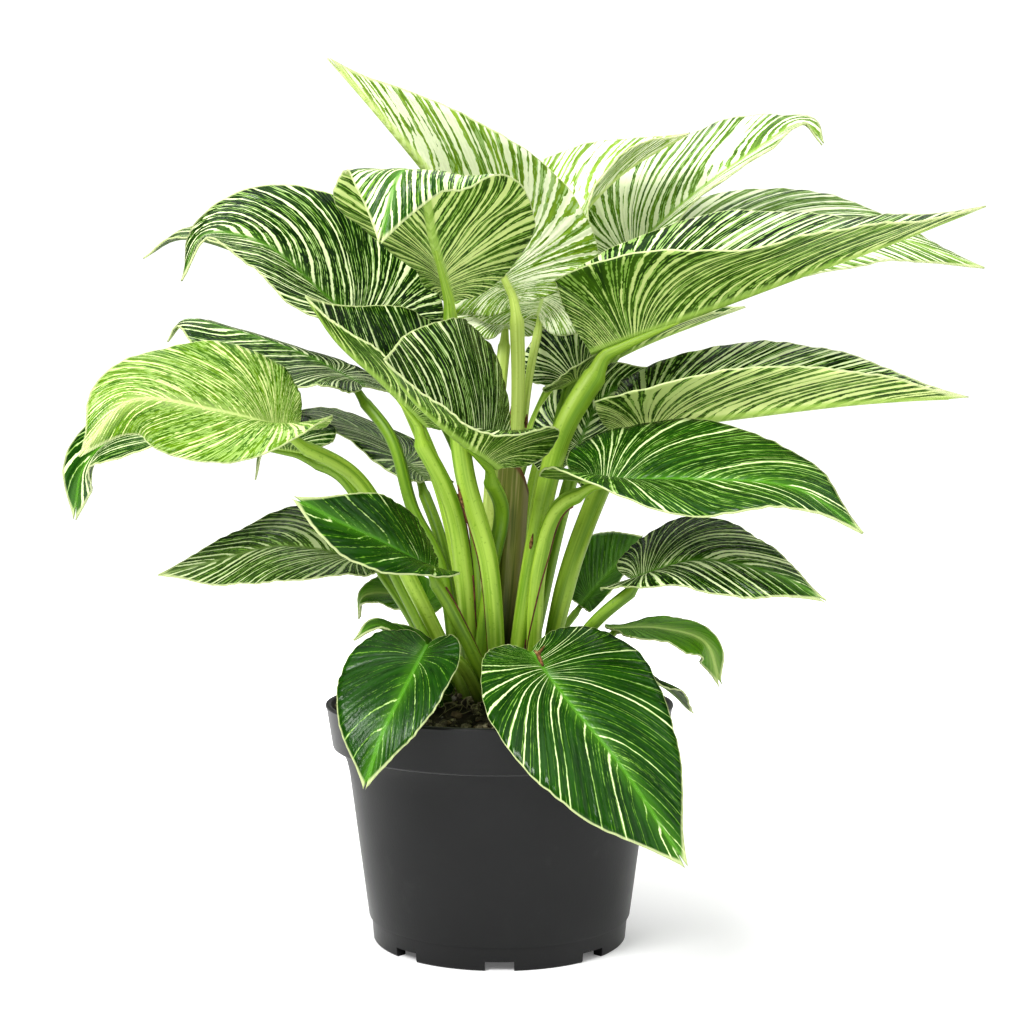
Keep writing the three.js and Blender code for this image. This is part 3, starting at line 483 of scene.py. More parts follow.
# name; seat: ring and bearing, or foot: where the stalk starts; stalk: points on its way
# up; thick: its radius half way and at the top; rib: midrib from foot to tip; face: where
# the upper side looks; half: greatest width left and right; fold: degrees that each half
# is raised, from foot to tip; taper: width lost by the tip; lobe: length of the lobes.
LEAVES = [
    {"name": "leaf_01", "foot": (-1, -6.6, 130),
     "stalk": [(1.5, -6.6, 150), (7.5, -6.6, 229), (8.8, -5, 265)],
     "thick": (2.9, 3.6),
     "rib": [(8, -2, 301), (-5, -14, 324), (-35, -40, 360), (-74, -66, 401)],
     "face": [(0, 0.9, 0.42), (-0.2, 0.85, 0.5)],
     "half": (50, 44), "taper": [0.35, 0.35], "lobe": 0.25, "ripple": 1.5,
     "fold": ((5, 5), (35, 85, 85))},
    {"name": "leaf_02", "foot": (1.7, -2.4, 130),
     "stalk": [(4.3, -2.4, 150), (10.3, -2.3, 229), (14, 1.5, 265)],
     "thick": (1.4, 2.2),
     "rib": [(18, 11, 296), (31, 20, 334), (55, 26, 363), (94, 42, 388)],
     "face": [(-0.4, -0.8, 0.45), (-0.4, -0.8, 0.45)],
     "half": (50, 30), "lobe": 0.4,
     "fold": ((0, 0), (-10, 60, 85))},
    {"name": "leaf_03", "seat": (INNER_SEAT, 270), "stalk": [(-5, -25, 180), (-16, -34, 222)],
     "thick": (4.8, 4.6),
     "rib": [(-22, -42, 298), (-29, -60, 324), (-33, -82, 347), (-41, -102, 346), (-49, -110, 316)],
     "face": [(0, 0.8, 0.6), (0, 0.75, 0.65), (0, 0, 1), (0, -1, 0.1)],
     "half": (46, 47), "lobe": 0.25, "ripple": 2,
     "fold": ((40, 10, -16, -5), (65, 26, 0, -10))},
    {"name": "leaf_04", "seat": (INNER_SEAT, 230), "stalk": [(-4, -14, 175), (1, -20, 203)],
     "thick": (3.6, 3.8),
     "rib": [(-1, -40, 224), (-22, -72, 241), (-38, -100, 256), (-46, -124, 268)],
     "face": [(0.52, -0.13, 0.84), (0.45, -0.53, 0.71), (0.45, -0.53, 0.71)],
     "half": (38, 57), "lobe": 0.5,
     "fold": ((64, 35, 20), (46, 36, 25))},
    {"name": "leaf_05", "seat": (INNER_SEAT, 310), "stalk": [(16, -18, 186), (29, -20, 240)],
     "thick": (5, 6),
     "rib": [(42, -18, 277), (83, -30, 292), (133, -44, 310), (177, -50, 325), (214, -54, 339)],
     "face": [(-0.3, 0.05, 0.95), (-0.3, 0.05, 0.95)],
     "half": (44, 46), "taper": [-0.5, 0], "lobe": 0.1, "ripple": 1.4,
     "fold": ((80, 50, 25), (56, 20, 15))},
    {"name": "leaf_06", "seat": (INNER_SEAT, 150), "stalk": [(-25, 14, 203), (-41, 28, 245)],
     "thick": (4, 3.6),
     "rib": [(-56, 22, 281), (-84, 12, 306), (-112, 0, 329), (-138, -8, 332), (-148, -14, 310)],
     "face": [(-0.1, -0.9, 0.4), (-0.2, -0.8, 0.5), (-0.85, -0.5, 0.3)],
     "half": (30, 46),
     "fold": ((70, 35, 0), (5, 5, -15))},
    {"name": "leaf_07", "seat": (INNER_SEAT, 190), "stalk": [(-21, -20, 203)],
     "thick": (4.6, 4.2),
     "rib": [(-33, -30, 243), (-53, -42, 264), (-72, -52, 281), (-85, -60, 299)],
     "face": [(0.4, -0.1, 0.9), (0.4, -0.1, 0.9)],
     "half": (26, 39), "lobe": 0.3,
     "fold": ((25, 25), (65, 65))},
    {"name": "leaf_08", "seat": (OUTER_SEAT, 234), "stalk": [(-41, -27, 172), (-65, -34, 219)],
     "thick": (4, 3.6),
     "rib": [(-91, -42, 240), (-123, -66, 249), (-156, -92, 252), (-174, -104, 229)],
     "face": [(0, -0.55, 0.8), (-0.1, -0.55, 0.8), (-0.6, -0.6, 0.5)],
     "half": (33, 40), "lobe": 0.3,
     "fold": ((45, -12, -60, -70), (25, 26, 18, 10))},
    {"name": "leaf_09", "seat": (OUTER_SEAT, 270), "stalk": [(-21, -41, 158)],
     "thick": (3.4, 3),
     "rib": [(-27, -48, 177), (-51, -70, 192), (-70, -84, 202), (-87, -92, 212)],
     "face": [(0.25, -0.75, 0.6), (0.25, -0.75, 0.6)],
     "half": (16, 23), "taper": [-1.1, -0.1], "lobe": 0.15,
     "fold": ((60, 12, -10), (-12, 18, 25))},
    {"name": "leaf_10", "seat": (OUTER_SEAT, 162),
     "stalk": [(-28, 16, 175), (-42, 24, 202), (-53, 30, 237)],
     "thick": (3.4, 3.2),
     "rib": [(-68, 40, 264), (-101, 60, 281), (-139, 76, 294), (-165, 84, 299), (-174, 88, 288)],
     "face": [(0.1, 0.3, 0.95), (0.1, 0.3, 0.95), (-0.5, 0.2, 0.8)],
     "half": (42, 30), "lobe": 0.5,
     "fold": ((-22, -62, -60, -20), (20, 16, 13, 10))},
    {"name": "leaf_11", "seat": (OUTER_SEAT, 126), "stalk": [(-29, 42, 185)],
     "thick": (3.2, 3),
     "rib": [(-37, 55, 217), (-67, 80, 240), (-106, 98, 248), (-127, 108, 233), (-132, 112, 215)],
     "face": [(0.4, -0.15, 0.9), (0, -0.15, 0.95), (-0.8, -0.3, 0.3)],
     "half": (20, 26), "lobe": 0.3,
     "fold": ((-8, -4), (0, 0))},
    {"name": "leaf_12", "seat": (OUTER_SEAT, 198), "stalk": [(-49, 8, 170), (-76, 17, 218)],
     "thick": (3.2, 3),
     "rib": [(-94, 20, 231), (-150, 42, 238), (-194, 60, 238), (-214, 70, 222), (-221, 78, 195)],
     "face": [(0, -0.3, 0.95), (-0.1, -0.3, 0.95), (-0.2, -0.5, 0.8), (-0.4, -0.9, 0.3)],
     "half": (34, 34), "taper": [-0.8, -0.65], "lobe": 0.5,
     "fold": ((30, 8, 8), (8, 8))},
    {"name": "leaf_13", "seat": (OUTER_SEAT, 180), "stalk": [(-42, 12, 150)],
     "thick": (3.2, 3),
     "rib": [(-59, 30, 177), (-111, 50, 183), (-148, 62, 174), (-176, 68, 167)],
     "face": [(-0.05, -0.4, 0.9), (-0.05, -0.4, 0.9)],
     "half": (30, 37), "lobe": 0.5,
     "fold": ((12, -45), (12, 12))},
    {"name": "leaf_14", "seat": (OUTER_SEAT, 144), "stalk": [],
     "thick": (2.2, 2),
     "rib": [(-34, 28, 151), (-52, 42, 159), (-69, 52, 157), (-72, 58, 145)],
     "face": [(0, -0.5, 0.85), (-0.6, -0.5, 0.5)],
     "half": (13, 16), "lobe": 0.2,
     "fold": ((30, 10), (5, 5))},
    {"name": "leaf_15", "seat": (OUTER_SEAT, 216), "stalk": [],
     "thick": (2.2, 2),
     "rib": [(-28, -28, 121), (-42, -31, 143), (-56, -37, 152), (-66, -42, 146)],
     "face": [(0, -0.3, 0.95), (-0.3, -0.3, 0.9)],
     "half": (15, 15), "fused": True,
     "fold": ((10, 10), (10, 10))},
    {"name": "leaf_16", "seat": (OUTER_SEAT, 108), "stalk": [(-20, 84, 225), (-50, 96, 275)],
     "thick": (3.2, 3),
     "rib": [(-80, 97, 305), (-141, 98, 338), (-169, 98, 343), (-189, 102, 333)],
     "face": [(0.2, -0.3, 0.9), (0, -0.3, 0.95)],
     "half": (30, 30), "fused": True,
     "fold": ((15, 15), (15, 15))},
    {"name": "leaf_17", "seat": (OUTER_SEAT, 252), "stalk": [(-20, -46, 138)],
     "thick": (3, 2.8),
     "rib": [(-32, -58, 146), (-43, -80, 125), (-50, -90, 111), (-57, -97, 89)],
     "face": [(-0.15, -0.45, 0.88), (-0.2, -0.85, 0.45)],
     "half": (19, 30), "taper": [-0.2, -0.2], "lobe": 0.5,
     "fold": ((5, 5), (5, 5))},
    {"name": "leaf_18", "seat": (OUTER_SEAT, 288), "stalk": [(8, -42, 134)],
     "thick": (3.6, 3.4),
     "rib": [(14, -52, 142), (30, -78, 123), (51, -98, 99), (77, -116, 61)],
     "face": [(0.1, -0.4, 0.9), (0.3, -0.85, 0.4)],
     "half": (46, 28), "taper": [0.15, -1.15], "lobe": 0.5,
     "fold": ((5, 5), (-8, 5))},
    {"name": "leaf_19", "seat": (OUTER_SEAT, 90), "stalk": [(20, 58, 215)],
     "thick": (3.6, 2.6),
     "rib": [(70, 78, 302), (120, 80, 334), (190, 82, 344), (252, 82, 326)],
     "face": [(-0.1, -0.3, 0.95), (0.2, -0.2, 0.97)],
     "half": (48, 42),
     "fold": ((30, 30, 10), (-5, -25, -38))},
    {"name": "leaf_20", "seat": (INNER_SEAT, 30), "stalk": [(18, 40, 215)],
     "thick": (4, 3.8),
     "rib": [(52, 50, 318), (93, 54, 356), (128, 58, 382), (148, 62, 395), (156, 66, 397),
             (165, 68, 387)],
     "face": [(-0.4, -0.6, 0.65), (-0.2, -0.6, 0.75)],
     "half": (31, 10), "taper": [-1.1, -1.1], "lobe": 0.4, "ripple": 1.4,
     "fold": ((50, 10, 0), (20, 20))},
    {"name": "leaf_21", "seat": (INNER_SEAT, 70), "stalk": [(8, 44, 215)],
     "thick": (3.6, 3.4),
     "rib": [(57, 82, 330), (69, 90, 359), (85, 98, 379), (101, 102, 392)],
     "face": [(-0.5, -0.7, 0.5), (-0.5, -0.7, 0.5)],
     "half": (26, 26), "lobe": 0.4,
     "fold": ((10, 10), (10, 10))},
    {"name": "leaf_22", "seat": (INNER_SEAT, 350), "stalk": [(20, 3, 200)],
     "thick": (3.4, 3.2),
     "rib": [(29, 12, 262), (68, 24, 283), (121, 36, 302)],
     "face": [(-0.3, -0.3, 0.9), (-0.2, -0.3, 0.9)],
     "half": (30, 28),
     "fold": ((60, 30), (30, 30))},
    {"name": "leaf_23", "seat": (OUTER_SEAT, 54), "stalk": [(26, 16, 185)],
     "thick": (3.8, 3.6),
     "rib": [(35, 14, 226), (50, 24, 256), (78, 32, 272)],
     "face": [(-0.3, -0.9, 0.3), (-0.3, -0.9, 0.3)],
     "half": (26, 26),
     "fold": ((0, 0), (0, 0))},
    {"name": "leaf_24", "seat": (OUTER_SEAT, 0), "stalk": [(32, -9, 172), (47, -8, 213)],
     "thick": (5, 5),
     "rib": [(53, -6, 240), (102, -24, 247), (157, -40, 253), (209, -48, 255)],
     "face": [(0, 0.05, 1), (0, 0.05, 1)],
     "half": (42, 30), "taper": [-0.2, -0.2], "lobe": 0.1,
     "fold": ((48, 58, 50), (28, 48))},
    {"name": "leaf_25", "seat": (OUTER_SEAT, 324), "stalk": [(18, -28, 178), (27, -38, 206)],
     "thick": (4.2, 3.8),
     "rib": [(38, -43, 218), (90, -68, 219), (127, -84, 215), (153, -94, 197)],
     "face": [(-0.1, -0.45, 0.88), (-0.05, -0.45, 0.88), (0.5, -0.4, 0.7)],
     "half": (44, 36), "lobe": 0.8,
     "fold": ((10, 10), (38, -5, -4))},
    {"name": "leaf_26", "seat": (OUTER_SEAT, 342), "stalk": [(42, -24, 150)],
     "thick": (3.4, 3.2),
     "rib": [(60, -30, 173), (89, -52, 183), (122, -68, 177), (141, -76, 167)],
     "face": [(-0.1, -0.4, 0.9), (0.3, -0.4, 0.85)],
     "half": (42, 14), "taper": [0.5, -1.6], "lobe": 0.8,
     "fold": ((12, 12), (10, -18, -30))},
    {"name": "leaf_27", "seat": (OUTER_SEAT, 72), "stalk": [],
     "thick": (2.2, 2),
     "rib": [(41, 52, 153), (55, 62, 168), (68, 72, 180), (76, 80, 186)],
     "face": [(0, -0.9, 0.3), (0, -0.9, 0.3)],
     "half": (12, 7), "taper": [-2, -0.3], "lobe": 0.1,
     "fold": ((5, 5), (5, 5))},
    {"name": "leaf_28", "seat": (OUTER_SEAT, 18), "stalk": [(35, 14, 125)],
     "thick": (2.4, 2.2),
     "rib": [(55, 20, 145), (80, 36, 143), (104, 50, 134), (113, 60, 110)],
     "face": [(0, -0.3, 0.95), (0.1, -0.6, 0.8), (0.2, -0.95, 0.2)],
     "half": (7, 19), "taper": [-2, -0.1], "lobe": 0.2,
     "fold": ((-12, 0), (5, 5))},
    {"name": "leaf_29", "seat": (OUTER_SEAT, 36), "stalk": [],
     "thick": (2.2, 2),
     "rib": [(62, 40, 122), (84, 63, 112), (103, 92, 92)],
     "face": [(0.1, -0.3, 0.95), (0.3, -0.2, 0.9)],
     "half": (9, 13), "fused": True,
     "fold": ((5, 5), (5, 5))},
    {"name": "leaf_30", "seat": (INNER_SEAT, 110), "stalk": [(-5, 16, 200)],
     "thick": (3.4, 3.2),
     "rib": [(3, 30, 292), (0, 50, 311), (-5, 80, 340)],
     "face": [(0, -0.6, 0.8), (0, -0.6, 0.8)],
     "half": (26, 26), "fused": True,
     "fold": ((10, 10), (10, 10))},
]


class Route:
    """A smooth way through points, in millimetres; places on it go by share of its length."""

    STEPS = 60

    def __init__(self, points):
        knots = np.array(points, float)
        knots = np.vstack([2 * knots[0] - knots[1], knots, 2 * knots[-1] - knots[-2]])
        share = np.linspace(0, 1, self.STEPS, endpoint=False)[:, None]
        way = []
        for before, start, end, after in zip(knots, knots[1:], knots[2:], knots[3:]):
            pairs = ((before, start), (start, end), (end, after))
            spans = [np.linalg.norm(b - a) ** 0.5 for a, b in pairs]
            leaving = (start - before) / spans[0] - (end - before) / (spans[0] + spans[1])
            leaving = (leaving + (end - start) / spans[1]) * spans[1]
            arriving = (end - start) / spans[1] - (after - start) / (spans[1] + spans[2])
            arriving = (arriving + (after - end) / spans[2]) * spans[1]
            square = -3 * start + 3 * end - 2 * leaving - arriving
            cube = 2 * start - 2 * end + leaving + arriving
            way.append(start + leaving * share + square * share**2 + cube * share**3)
        self.way = np.vstack(way + [knots[-2][None]])
        steps = np.linalg.norm(np.diff(self.way, axis=0), axis=1)
        run = np.concatenate([[0], np.cumsum(steps)])
        self.length = run[-1]
        self.share = run / run[-1]
        self.slope = unit(np.gradient(self.way, run, axis=0))

    def place(self, share):
        return read_off(share, self.share, self.way)

    def heading(self, share):
        return unit(read_off(share, self.share, self.slope))


def read_off(share, shares, vectors):
    """The vector at each share, between those given at some shares."""
    return np.stack([np.interp(share, shares, column) for column in vectors.T], -1)


def unit(vectors):
    return vectors / np.linalg.norm(vectors, axis=-1, keepdims=True)


def dot(a, b):
    return (a * b).sum(-1, keepdims=True)


def along(values, share):
    values = np.array(values, float)
    ends = np.linspace(0, 1, len(values))
    if values.ndim == 1:
        return np.interp(share, ends, values)
    return read_off(share, ends, values)


class BladeSurface:
    """The upper side of one blade, from shares along the midrib and out from it."""

    def __init__(self, leaf):
        self.leaf = leaf
        self.rib = Route(leaf["rib"])

    def frame(self, share):
        inside = np.clip(share, 0, 1)
        ahead = self.rib.heading(inside)
        centre = self.rib.place(inside) + ahead * (share - inside)[:, None] * self.rib.length
        up = along(self.leaf["face"], inside)
        up = unit(up - ahead * dot(up, ahead))
        return centre, ahead, up, np.cross(ahead, up)

    def place(self, share, out, side):
        centre, _, up, right = self.frame(share)
        inside = np.clip(share, 0, 1)
        left_half, right_half = self.leaf["half"]
        left_fold, right_fold = self.leaf["fold"]
        half = np.where(side > 0, right_half, left_half)
        fold = np.where(side > 0, along(right_fold, inside), along(left_fold, inside))
        fold = np.radians(fold)[:, None]
        left_taper, right_taper = self.leaf.get("taper", (0, 0))
        taper = np.where(side > 0, right_taper, left_taper)
        reach = (out * half * (1 - taper * inside))[:, None]
        side = side[:, None]
        place = centre + right * side * reach * np.cos(fold) + up * reach * np.sin(fold)
        normal = up * np.cos(fold) - right * side * np.sin(fold)
        return place, normal, reach[:, 0]


SETTLING_PASSES = 4


def stalk_route(leaf):
    """The stalk's way up, which ends with one edge of the stalk under the blade's foot."""
    centre, ahead, up, _ = (value[0] for value in BladeSurface(leaf).frame(np.zeros(1)))
    if "seat" in leaf:
        seat, bearing = leaf["seat"]
        turn = math.radians(bearing)
        foot = np.array(STEM) + (
            seat["radius"] * math.cos(turn),
            seat["radius"] * math.sin(turn),
            seat["level"],
        )
    else:
        foot = np.array(leaf["foot"], float)
    way = [foot, foot + (0, 0, SEAT_RISE)] + [np.array(point, float) for point in leaf["stalk"]]
    keel = KEEL_DEPTH * math.sin(math.pi * KEEL_START)
    gap = -BLADE_THICKNESS if leaf.get("fused") else CLEARANCE
    meeting = centre - up * (BLADE_THICKNESS + keel + gap) + ahead * FOOT_REACH
    route = Route(way + [meeting])
    for _ in range(SETTLING_PASSES):
        arriving = route.heading(1.0)
        crest = unit(up - arriving * np.dot(up, arriving))
        route = Route(way + [meeting - crest * leaf["thick"][1]])
    return route


def carried_frames(route, shares, crest):
    """Two directions across the route at each share, with the first one ending at crest."""
    headings = route.heading(shares)
    firsts = [crest]
    for heading in headings[::-1][1:]:
        first = firsts[-1] - heading * np.dot(firsts[-1], heading)
        firsts.append(first / np.linalg.norm(first))
    firsts = np.array(firsts[::-1])
    return firsts, np.cross(headings, firsts)


STALK_AROUND = 24
STALK_ALONG = 80
GROOVE_DEPTH = 0.22
GROOVE_HALF_TURN = 0.42
LIP_TURN = 0.85


def stalk_skin(leaf, share, turn):
    """Distance of the stalk's skin from its middle line, in millimetres."""
    seat_radius = leaf["seat"][0]["stalk"] if "seat" in leaf else leaf["thick"][0]
    radius = along((seat_radius, *leaf["thick"]), share)
    from_crest = np.abs((turn + math.pi) % (2 * math.pi) - math.pi)
    groove_depth = GROOVE_DEPTH * np.clip(1 - abs(share - 0.62) / 0.5, 0, 1) ** 0.6
    groove = 1 - groove_depth * np.exp(-((from_crest / GROOVE_HALF_TURN) ** 2))
    lips = 1 + 0.05 * np.exp(-(((from_crest - LIP_TURN) / 0.3) ** 2))
    flutes = 1 + 0.003 * np.sin(11 * turn + 2 * share)
    return 0.97 * radius * groove * lips * flutes


def close_rolled(piece, lids):
    """Welds the seam of a rolled grid, and closes its ends."""
    select_only(piece)
    bpy.ops.object.mode_set(mode="EDIT")
    bpy.ops.mesh.select_all(action="SELECT")
    bpy.ops.mesh.remove_doubles(threshold=0.00001)
    if lids:
        bpy.ops.mesh.fill_holes(sides=0)
        bpy.ops.mesh.select_all(action="SELECT")
        bpy.ops.mesh.normals_make_consistent(inside=False)
    bpy.ops.object.mode_set(mode="OBJECT")


def float_layer(mesh, name, values):
    layer = mesh.attributes.new(name, "FLOAT", "POINT")
    layer.data.foreach_set("value", np.asarray(values, np.float32))


def places_of(mesh):
    flat = np.empty(len(mesh.vertices) * 3, np.float32)
    mesh.vertices.foreach_get("co", flat)
    return flat.reshape(-1, 3)


def new_grid(name, across, along_it):
    """A flat grid, and where its vertices lie on it from -1 to 1, across and along."""
    bpy.ops.mesh.primitive_grid_add(
        x_subdivisions=across, y_subdivisions=along_it, size=2, calc_uvs=True
    )
    piece = bpy.context.object
    piece.name = name
    x, y, _ = places_of(piece.data).astype(float).T
    return piece, x, y


def set_places(mesh, places):
    mesh.vertices.foreach_set("co", (places * MM).astype(np.float32).ravel())
    mesh.update()


STALK_SHARE = 0.8
TONGUE_SHARES = (0.03, 0.065, 0.11, 0.165, 0.23)
TONGUE_TIP_RADIUS = 0.9
TONGUE_START = 0.95
TONGUE_TAPER = 0.4
TONGUE_SKIN_TAPER = 0.45


def run_under_the_rib(leaf, stalk):
    """The stalk's way, led on under the midrib, and the share of it where the blade starts."""
    shares = np.array(TONGUE_SHARES)
    top = leaf["thick"][1]
    radii = top + (TONGUE_TIP_RADIUS - top) * (shares / shares[-1]) ** TONGUE_TAPER
    centre, _, up, _ = BladeSurface(leaf).frame(shares)
    tongue = centre - up * (0.9 * BLADE_THICKNESS + 0.95 * radii)[:, None]
    whole = Route(list(stalk.place(np.linspace(0, TONGUE_START, 24))) + list(tongue))
    return whole, TONGUE_START * stalk.length / whole.length


def stalk_points(leaf, share, turn):
    """Points of a stalk's skin: share runs to 1 at the blade and to 2 under the midrib."""
    route, blade_start = run_under_the_rib(leaf, stalk_route(leaf))
    whole = np.where(share < 1, share * blade_start, blade_start + (share - 1) * (1 - blade_start))
    _, _, blade_up, _ = BladeSurface(leaf).frame(np.array(TONGUE_SHARES[-1:]))
    last_heading = route.heading(np.ones(1))
    crest = unit(blade_up - last_heading * dot(blade_up, last_heading))[0]
    steps = np.linspace(0, 1, 200)
    firsts, seconds = carried_frames(route, steps, crest)
    first = unit(read_off(whole, steps, firsts))
    second = unit(read_off(whole, steps, seconds))
    skin = stalk_skin(leaf, np.clip(share, 0, 1), turn)
    skin = skin + (TONGUE_TIP_RADIUS - skin) * np.clip(share - 1, 0, 1) ** TONGUE_SKIN_TAPER
    offset = first * np.cos(turn)[:, None] + second * np.sin(turn)[:, None]
    return route.place(whole) + skin[:, None] * offset


def build_stalk(leaf):
    piece, x, y = new_grid(leaf["name"] + "_petiole", STALK_AROUND, STALK_ALONG)
    row = (y + 1) / 2
    beyond = 1 + (row - STALK_SHARE) / (1 - STALK_SHARE)
    share = np.where(row < STALK_SHARE, row / STALK_SHARE, beyond)
    set_places(piece.data, stalk_points(leaf, share, -x * math.pi))
    close_rolled(piece, lids=True)
    bpy.ops.object.shade_smooth_by_angle(angle=math.radians(60))
    return piece


BLADE_ACROSS = 18
BLADE_ALONG = 104
VEIN_LAG = 0.7
VEIN_SOFTNESS = 0.03
VEIN_SPREAD = 0.3
TIP_HALF_WIDTH = 0.5
CRINKLE = 0.2
MARGIN_NICKS = 0.004
LOBE_WIDTHS = 3
PUFF = 0.055
FURROW_DEPTH = 0.5
FURROW_HALF_WIDTH = 1.3
KEEL_HALF_WIDTH = 1.7
OUTLINE_WAY = Route([(x, y, 0) for x, y in OUTLINE])


def build_blade(leaf):
    piece, x, y = new_grid(leaf["name"] + "_lamina", 2 * BLADE_ACROSS, BLADE_ALONG)
    mesh = piece.data
    surface = BladeSurface(leaf)
    seed = int(leaf["name"][-2:])
    side = np.where(x > 0, 1.0, -1.0)
    out = np.abs(x) ** 1.25
    station = (y + 1) / 2
    edge = OUTLINE_WAY.place(station)
    edge_x, edge_y = edge[:, 0], edge[:, 1]
    start = VEIN_SOFTNESS * np.log1p(np.exp((edge_x - VEIN_LAG * np.sqrt(edge_y)) / VEIN_SOFTNESS))
    start = (start + VEIN_SPREAD * station) / (1 + VEIN_SPREAD)
    lobe_scale = leaf.get("lobe", 1) * LOBE_WIDTHS * max(leaf["half"]) / surface.rib.length
    lobed = np.where(edge_x < 0, lobe_scale * edge_x, edge_x)
    share = start + (lobed - start) * (0.3 * out**0.7 + 0.7 * out**2.1)
    half = np.where(side > 0, leaf["half"][1], leaf["half"][0])
    across = np.maximum(edge_y, TIP_HALF_WIDTH / half) * out
    nicks = np.sin(station * (143 + 7 * (seed % 5)) + seed) + np.sin(station * 97 + side + seed)
    across = across * (1 + MARGIN_NICKS * nicks * out**6 * np.sin(math.pi * station))
    place, normal, reach = surface.place(share, across, side)
    _, _, up, _ = surface.frame(share)
    normal = np.where((out < 0.001)[:, None], up, normal)
    full = reach / np.maximum(out, 0.001)
    waves = np.sin(station * (19 + seed % 5) + side * 1.7 + seed)
    waves = waves + 0.6 * np.sin(station * (37 + seed % 7) + side + 2.3 * seed)
    waves = waves * out**3 * np.sin(math.pi * np.clip(station, 0, 1)) * leaf.get("ripple", 0.8)
    crinkles = np.sin(station * (118 + 9 * (seed % 4)) + 2 * side)
    crinkles = crinkles + 0.7 * np.sin(station * 171 + seed)
    waves = waves + CRINKLE * crinkles * out**4 * np.clip(full / 15, 0, 1)
    puff = PUFF * full * np.sin(math.pi * out) * np.clip(full / 12, 0, 1)
    furrow = -FURROW_DEPTH * np.exp(-((reach / FURROW_HALF_WIDTH) ** 2)) * (1 - start)
    place = place + normal * (waves + puff + furrow)[:, None]
    set_places(mesh, place)
    corner = np.empty(len(mesh.loops), np.int32)
    mesh.loops.foreach_get("vertex_index", corner)
    chart = np.stack([0.5 + 0.5 * side * out, station], -1).astype(np.float32)
    mesh.uv_layers[0].data.foreach_set("uv", chart[corner].ravel())
    count = len(mesh.vertices)
    finish_modifier(piece, "SOLIDIFY", thickness=BLADE_THICKNESS * MM, offset=-1)
    mesh = piece.data
    after = places_of(mesh) / MM
    first_is_upper = np.abs(after[:count] - place).max() < 0.01
    under = np.repeat([0.0, 1.0] if first_is_upper else [1.0, 0.0], count)
    keel = KEEL_DEPTH * np.sin(math.pi * np.minimum(1, start + KEEL_START))
    keel = keel * np.exp(-((reach / KEEL_HALF_WIDTH) ** 2))
    after = after - np.tile(normal * keel[:, None], (2, 1)) * under[:, None]
    set_places(mesh, after)
    float_layer(mesh, "under", under)
    float_layer(mesh, "from_rib", np.tile(reach, 2))
    float_layer(mesh, "from_edge", np.tile(full * (1 - out), 2))
    select_only(piece)
    bpy.ops.object.shade_smooth()
    return piece


def new_effect(name, inputs, outputs):
    """A node group with its input and output sockets."""
    group = bpy.data.node_groups.new(name, "ShaderNodeTree")
    for direction, sockets in (("INPUT", inputs), ("OUTPUT", outputs)):
        for socket, kind in sockets:
            group.interface.new_socket(socket, in_out=direction, socket_type="NodeSocket" + kind)
    given, wanted = group.nodes.new("NodeGroupInput"), group.nodes.new("NodeGroupOutput")
    return group, given.outputs, wanted.inputs


def effect_node(kind, *values, **settings):
    """A node beside the first output among the values, with the values on its inputs."""
    source = next(value for value in values if isinstance(value, bpy.types.NodeSocket))
    node = source.id_data.nodes.new("ShaderNode" + kind)
    for key, value in settings.items():
        setattr(node, key, value)
    for value, socket in zip(values, node.inputs):
        feed(value, socket)
    return node


def sum_up(operation, *values):
    return effect_node("Math", *values, operation=operation).outputs[0]


def plus(*values):
    return sum_up("ADD", *values)


def minus(*values):
    return sum_up("SUBTRACT", *values)


def times(*values):
    return sum_up("MULTIPLY", *values)


def scaled(value, factor, shift):
    return sum_up("MULTIPLY_ADD", value, factor, shift)


def blend(share, below, above):
    node = effect_node("Mix", share, data_type="RGBA")
    feed(below, node.inputs[6])
    feed(above, node.inputs[7])
    return node.outputs[2]


def spread(value, low, high, new_low, new_high):
    ends = (low, high, new_low, new_high)
    return effect_node("MapRange", value, *ends, interpolation_type="SMOOTHSTEP").outputs[0]


def bundle(*values):
    return effect_node("CombineXYZ", *values).outputs[0]


def split(value):
    return effect_node("SeparateXYZ", value).outputs


def cloud(place, detail, scale=1.0):
    node = effect_node("TexNoise", place)
    node.inputs["Scale"].default_value = scale
    node.inputs["Detail"].default_value = detail
    return node.outputs["Fac"]


# Pinstripes: cream lines that follow the side veins, each of its own width, thinning and
# breaking up on the way out. The map's v counts the veins, its u runs across the blade.
pinstripes, stripe_in, stripe_out = new_effect(
    "Pinstripes",
    [("Map", "Vector"), ("Lines", "Float"), ("Bold left", "Float"), ("Bold right", "Float"),
     ("Broken", "Float"), ("Fine", "Float"), ("Seed", "Float")],
    [("Line", "Float"), ("Tone", "Float"), ("Relief", "Float")],
)
across, vein, _ = split(stripe_in["Map"])
signed = scaled(across, 2.0, -1.0)
right_side = sum_up("GREATER_THAN", signed, 0.0)
outward = sum_up("ABSOLUTE", signed)
bolder_right = minus(stripe_in["Bold right"], stripe_in["Bold left"])
bold = scaled(right_side, bolder_right, stripe_in["Bold left"])


def vein_cloud(cells_across, cells_along, shift, detail):
    """Cloud drawn out along the veins: its cells a half, across and along the margin."""
    moved = plus(stripe_in["Seed"], shift)
    return cloud(bundle(times(signed, cells_across), times(vein, cells_along), moved), detail)


drift = vein_cloud(1.4, 5.0, 0.0, 1.0)
tremble = vein_cloud(13.0, 18.0, 20.0, 2.0)
patches = vein_cloud(1.6, 4.5, 40.0, 1.0)
flecks = vein_cloud(26.0, 90.0, 80.0, 1.0)


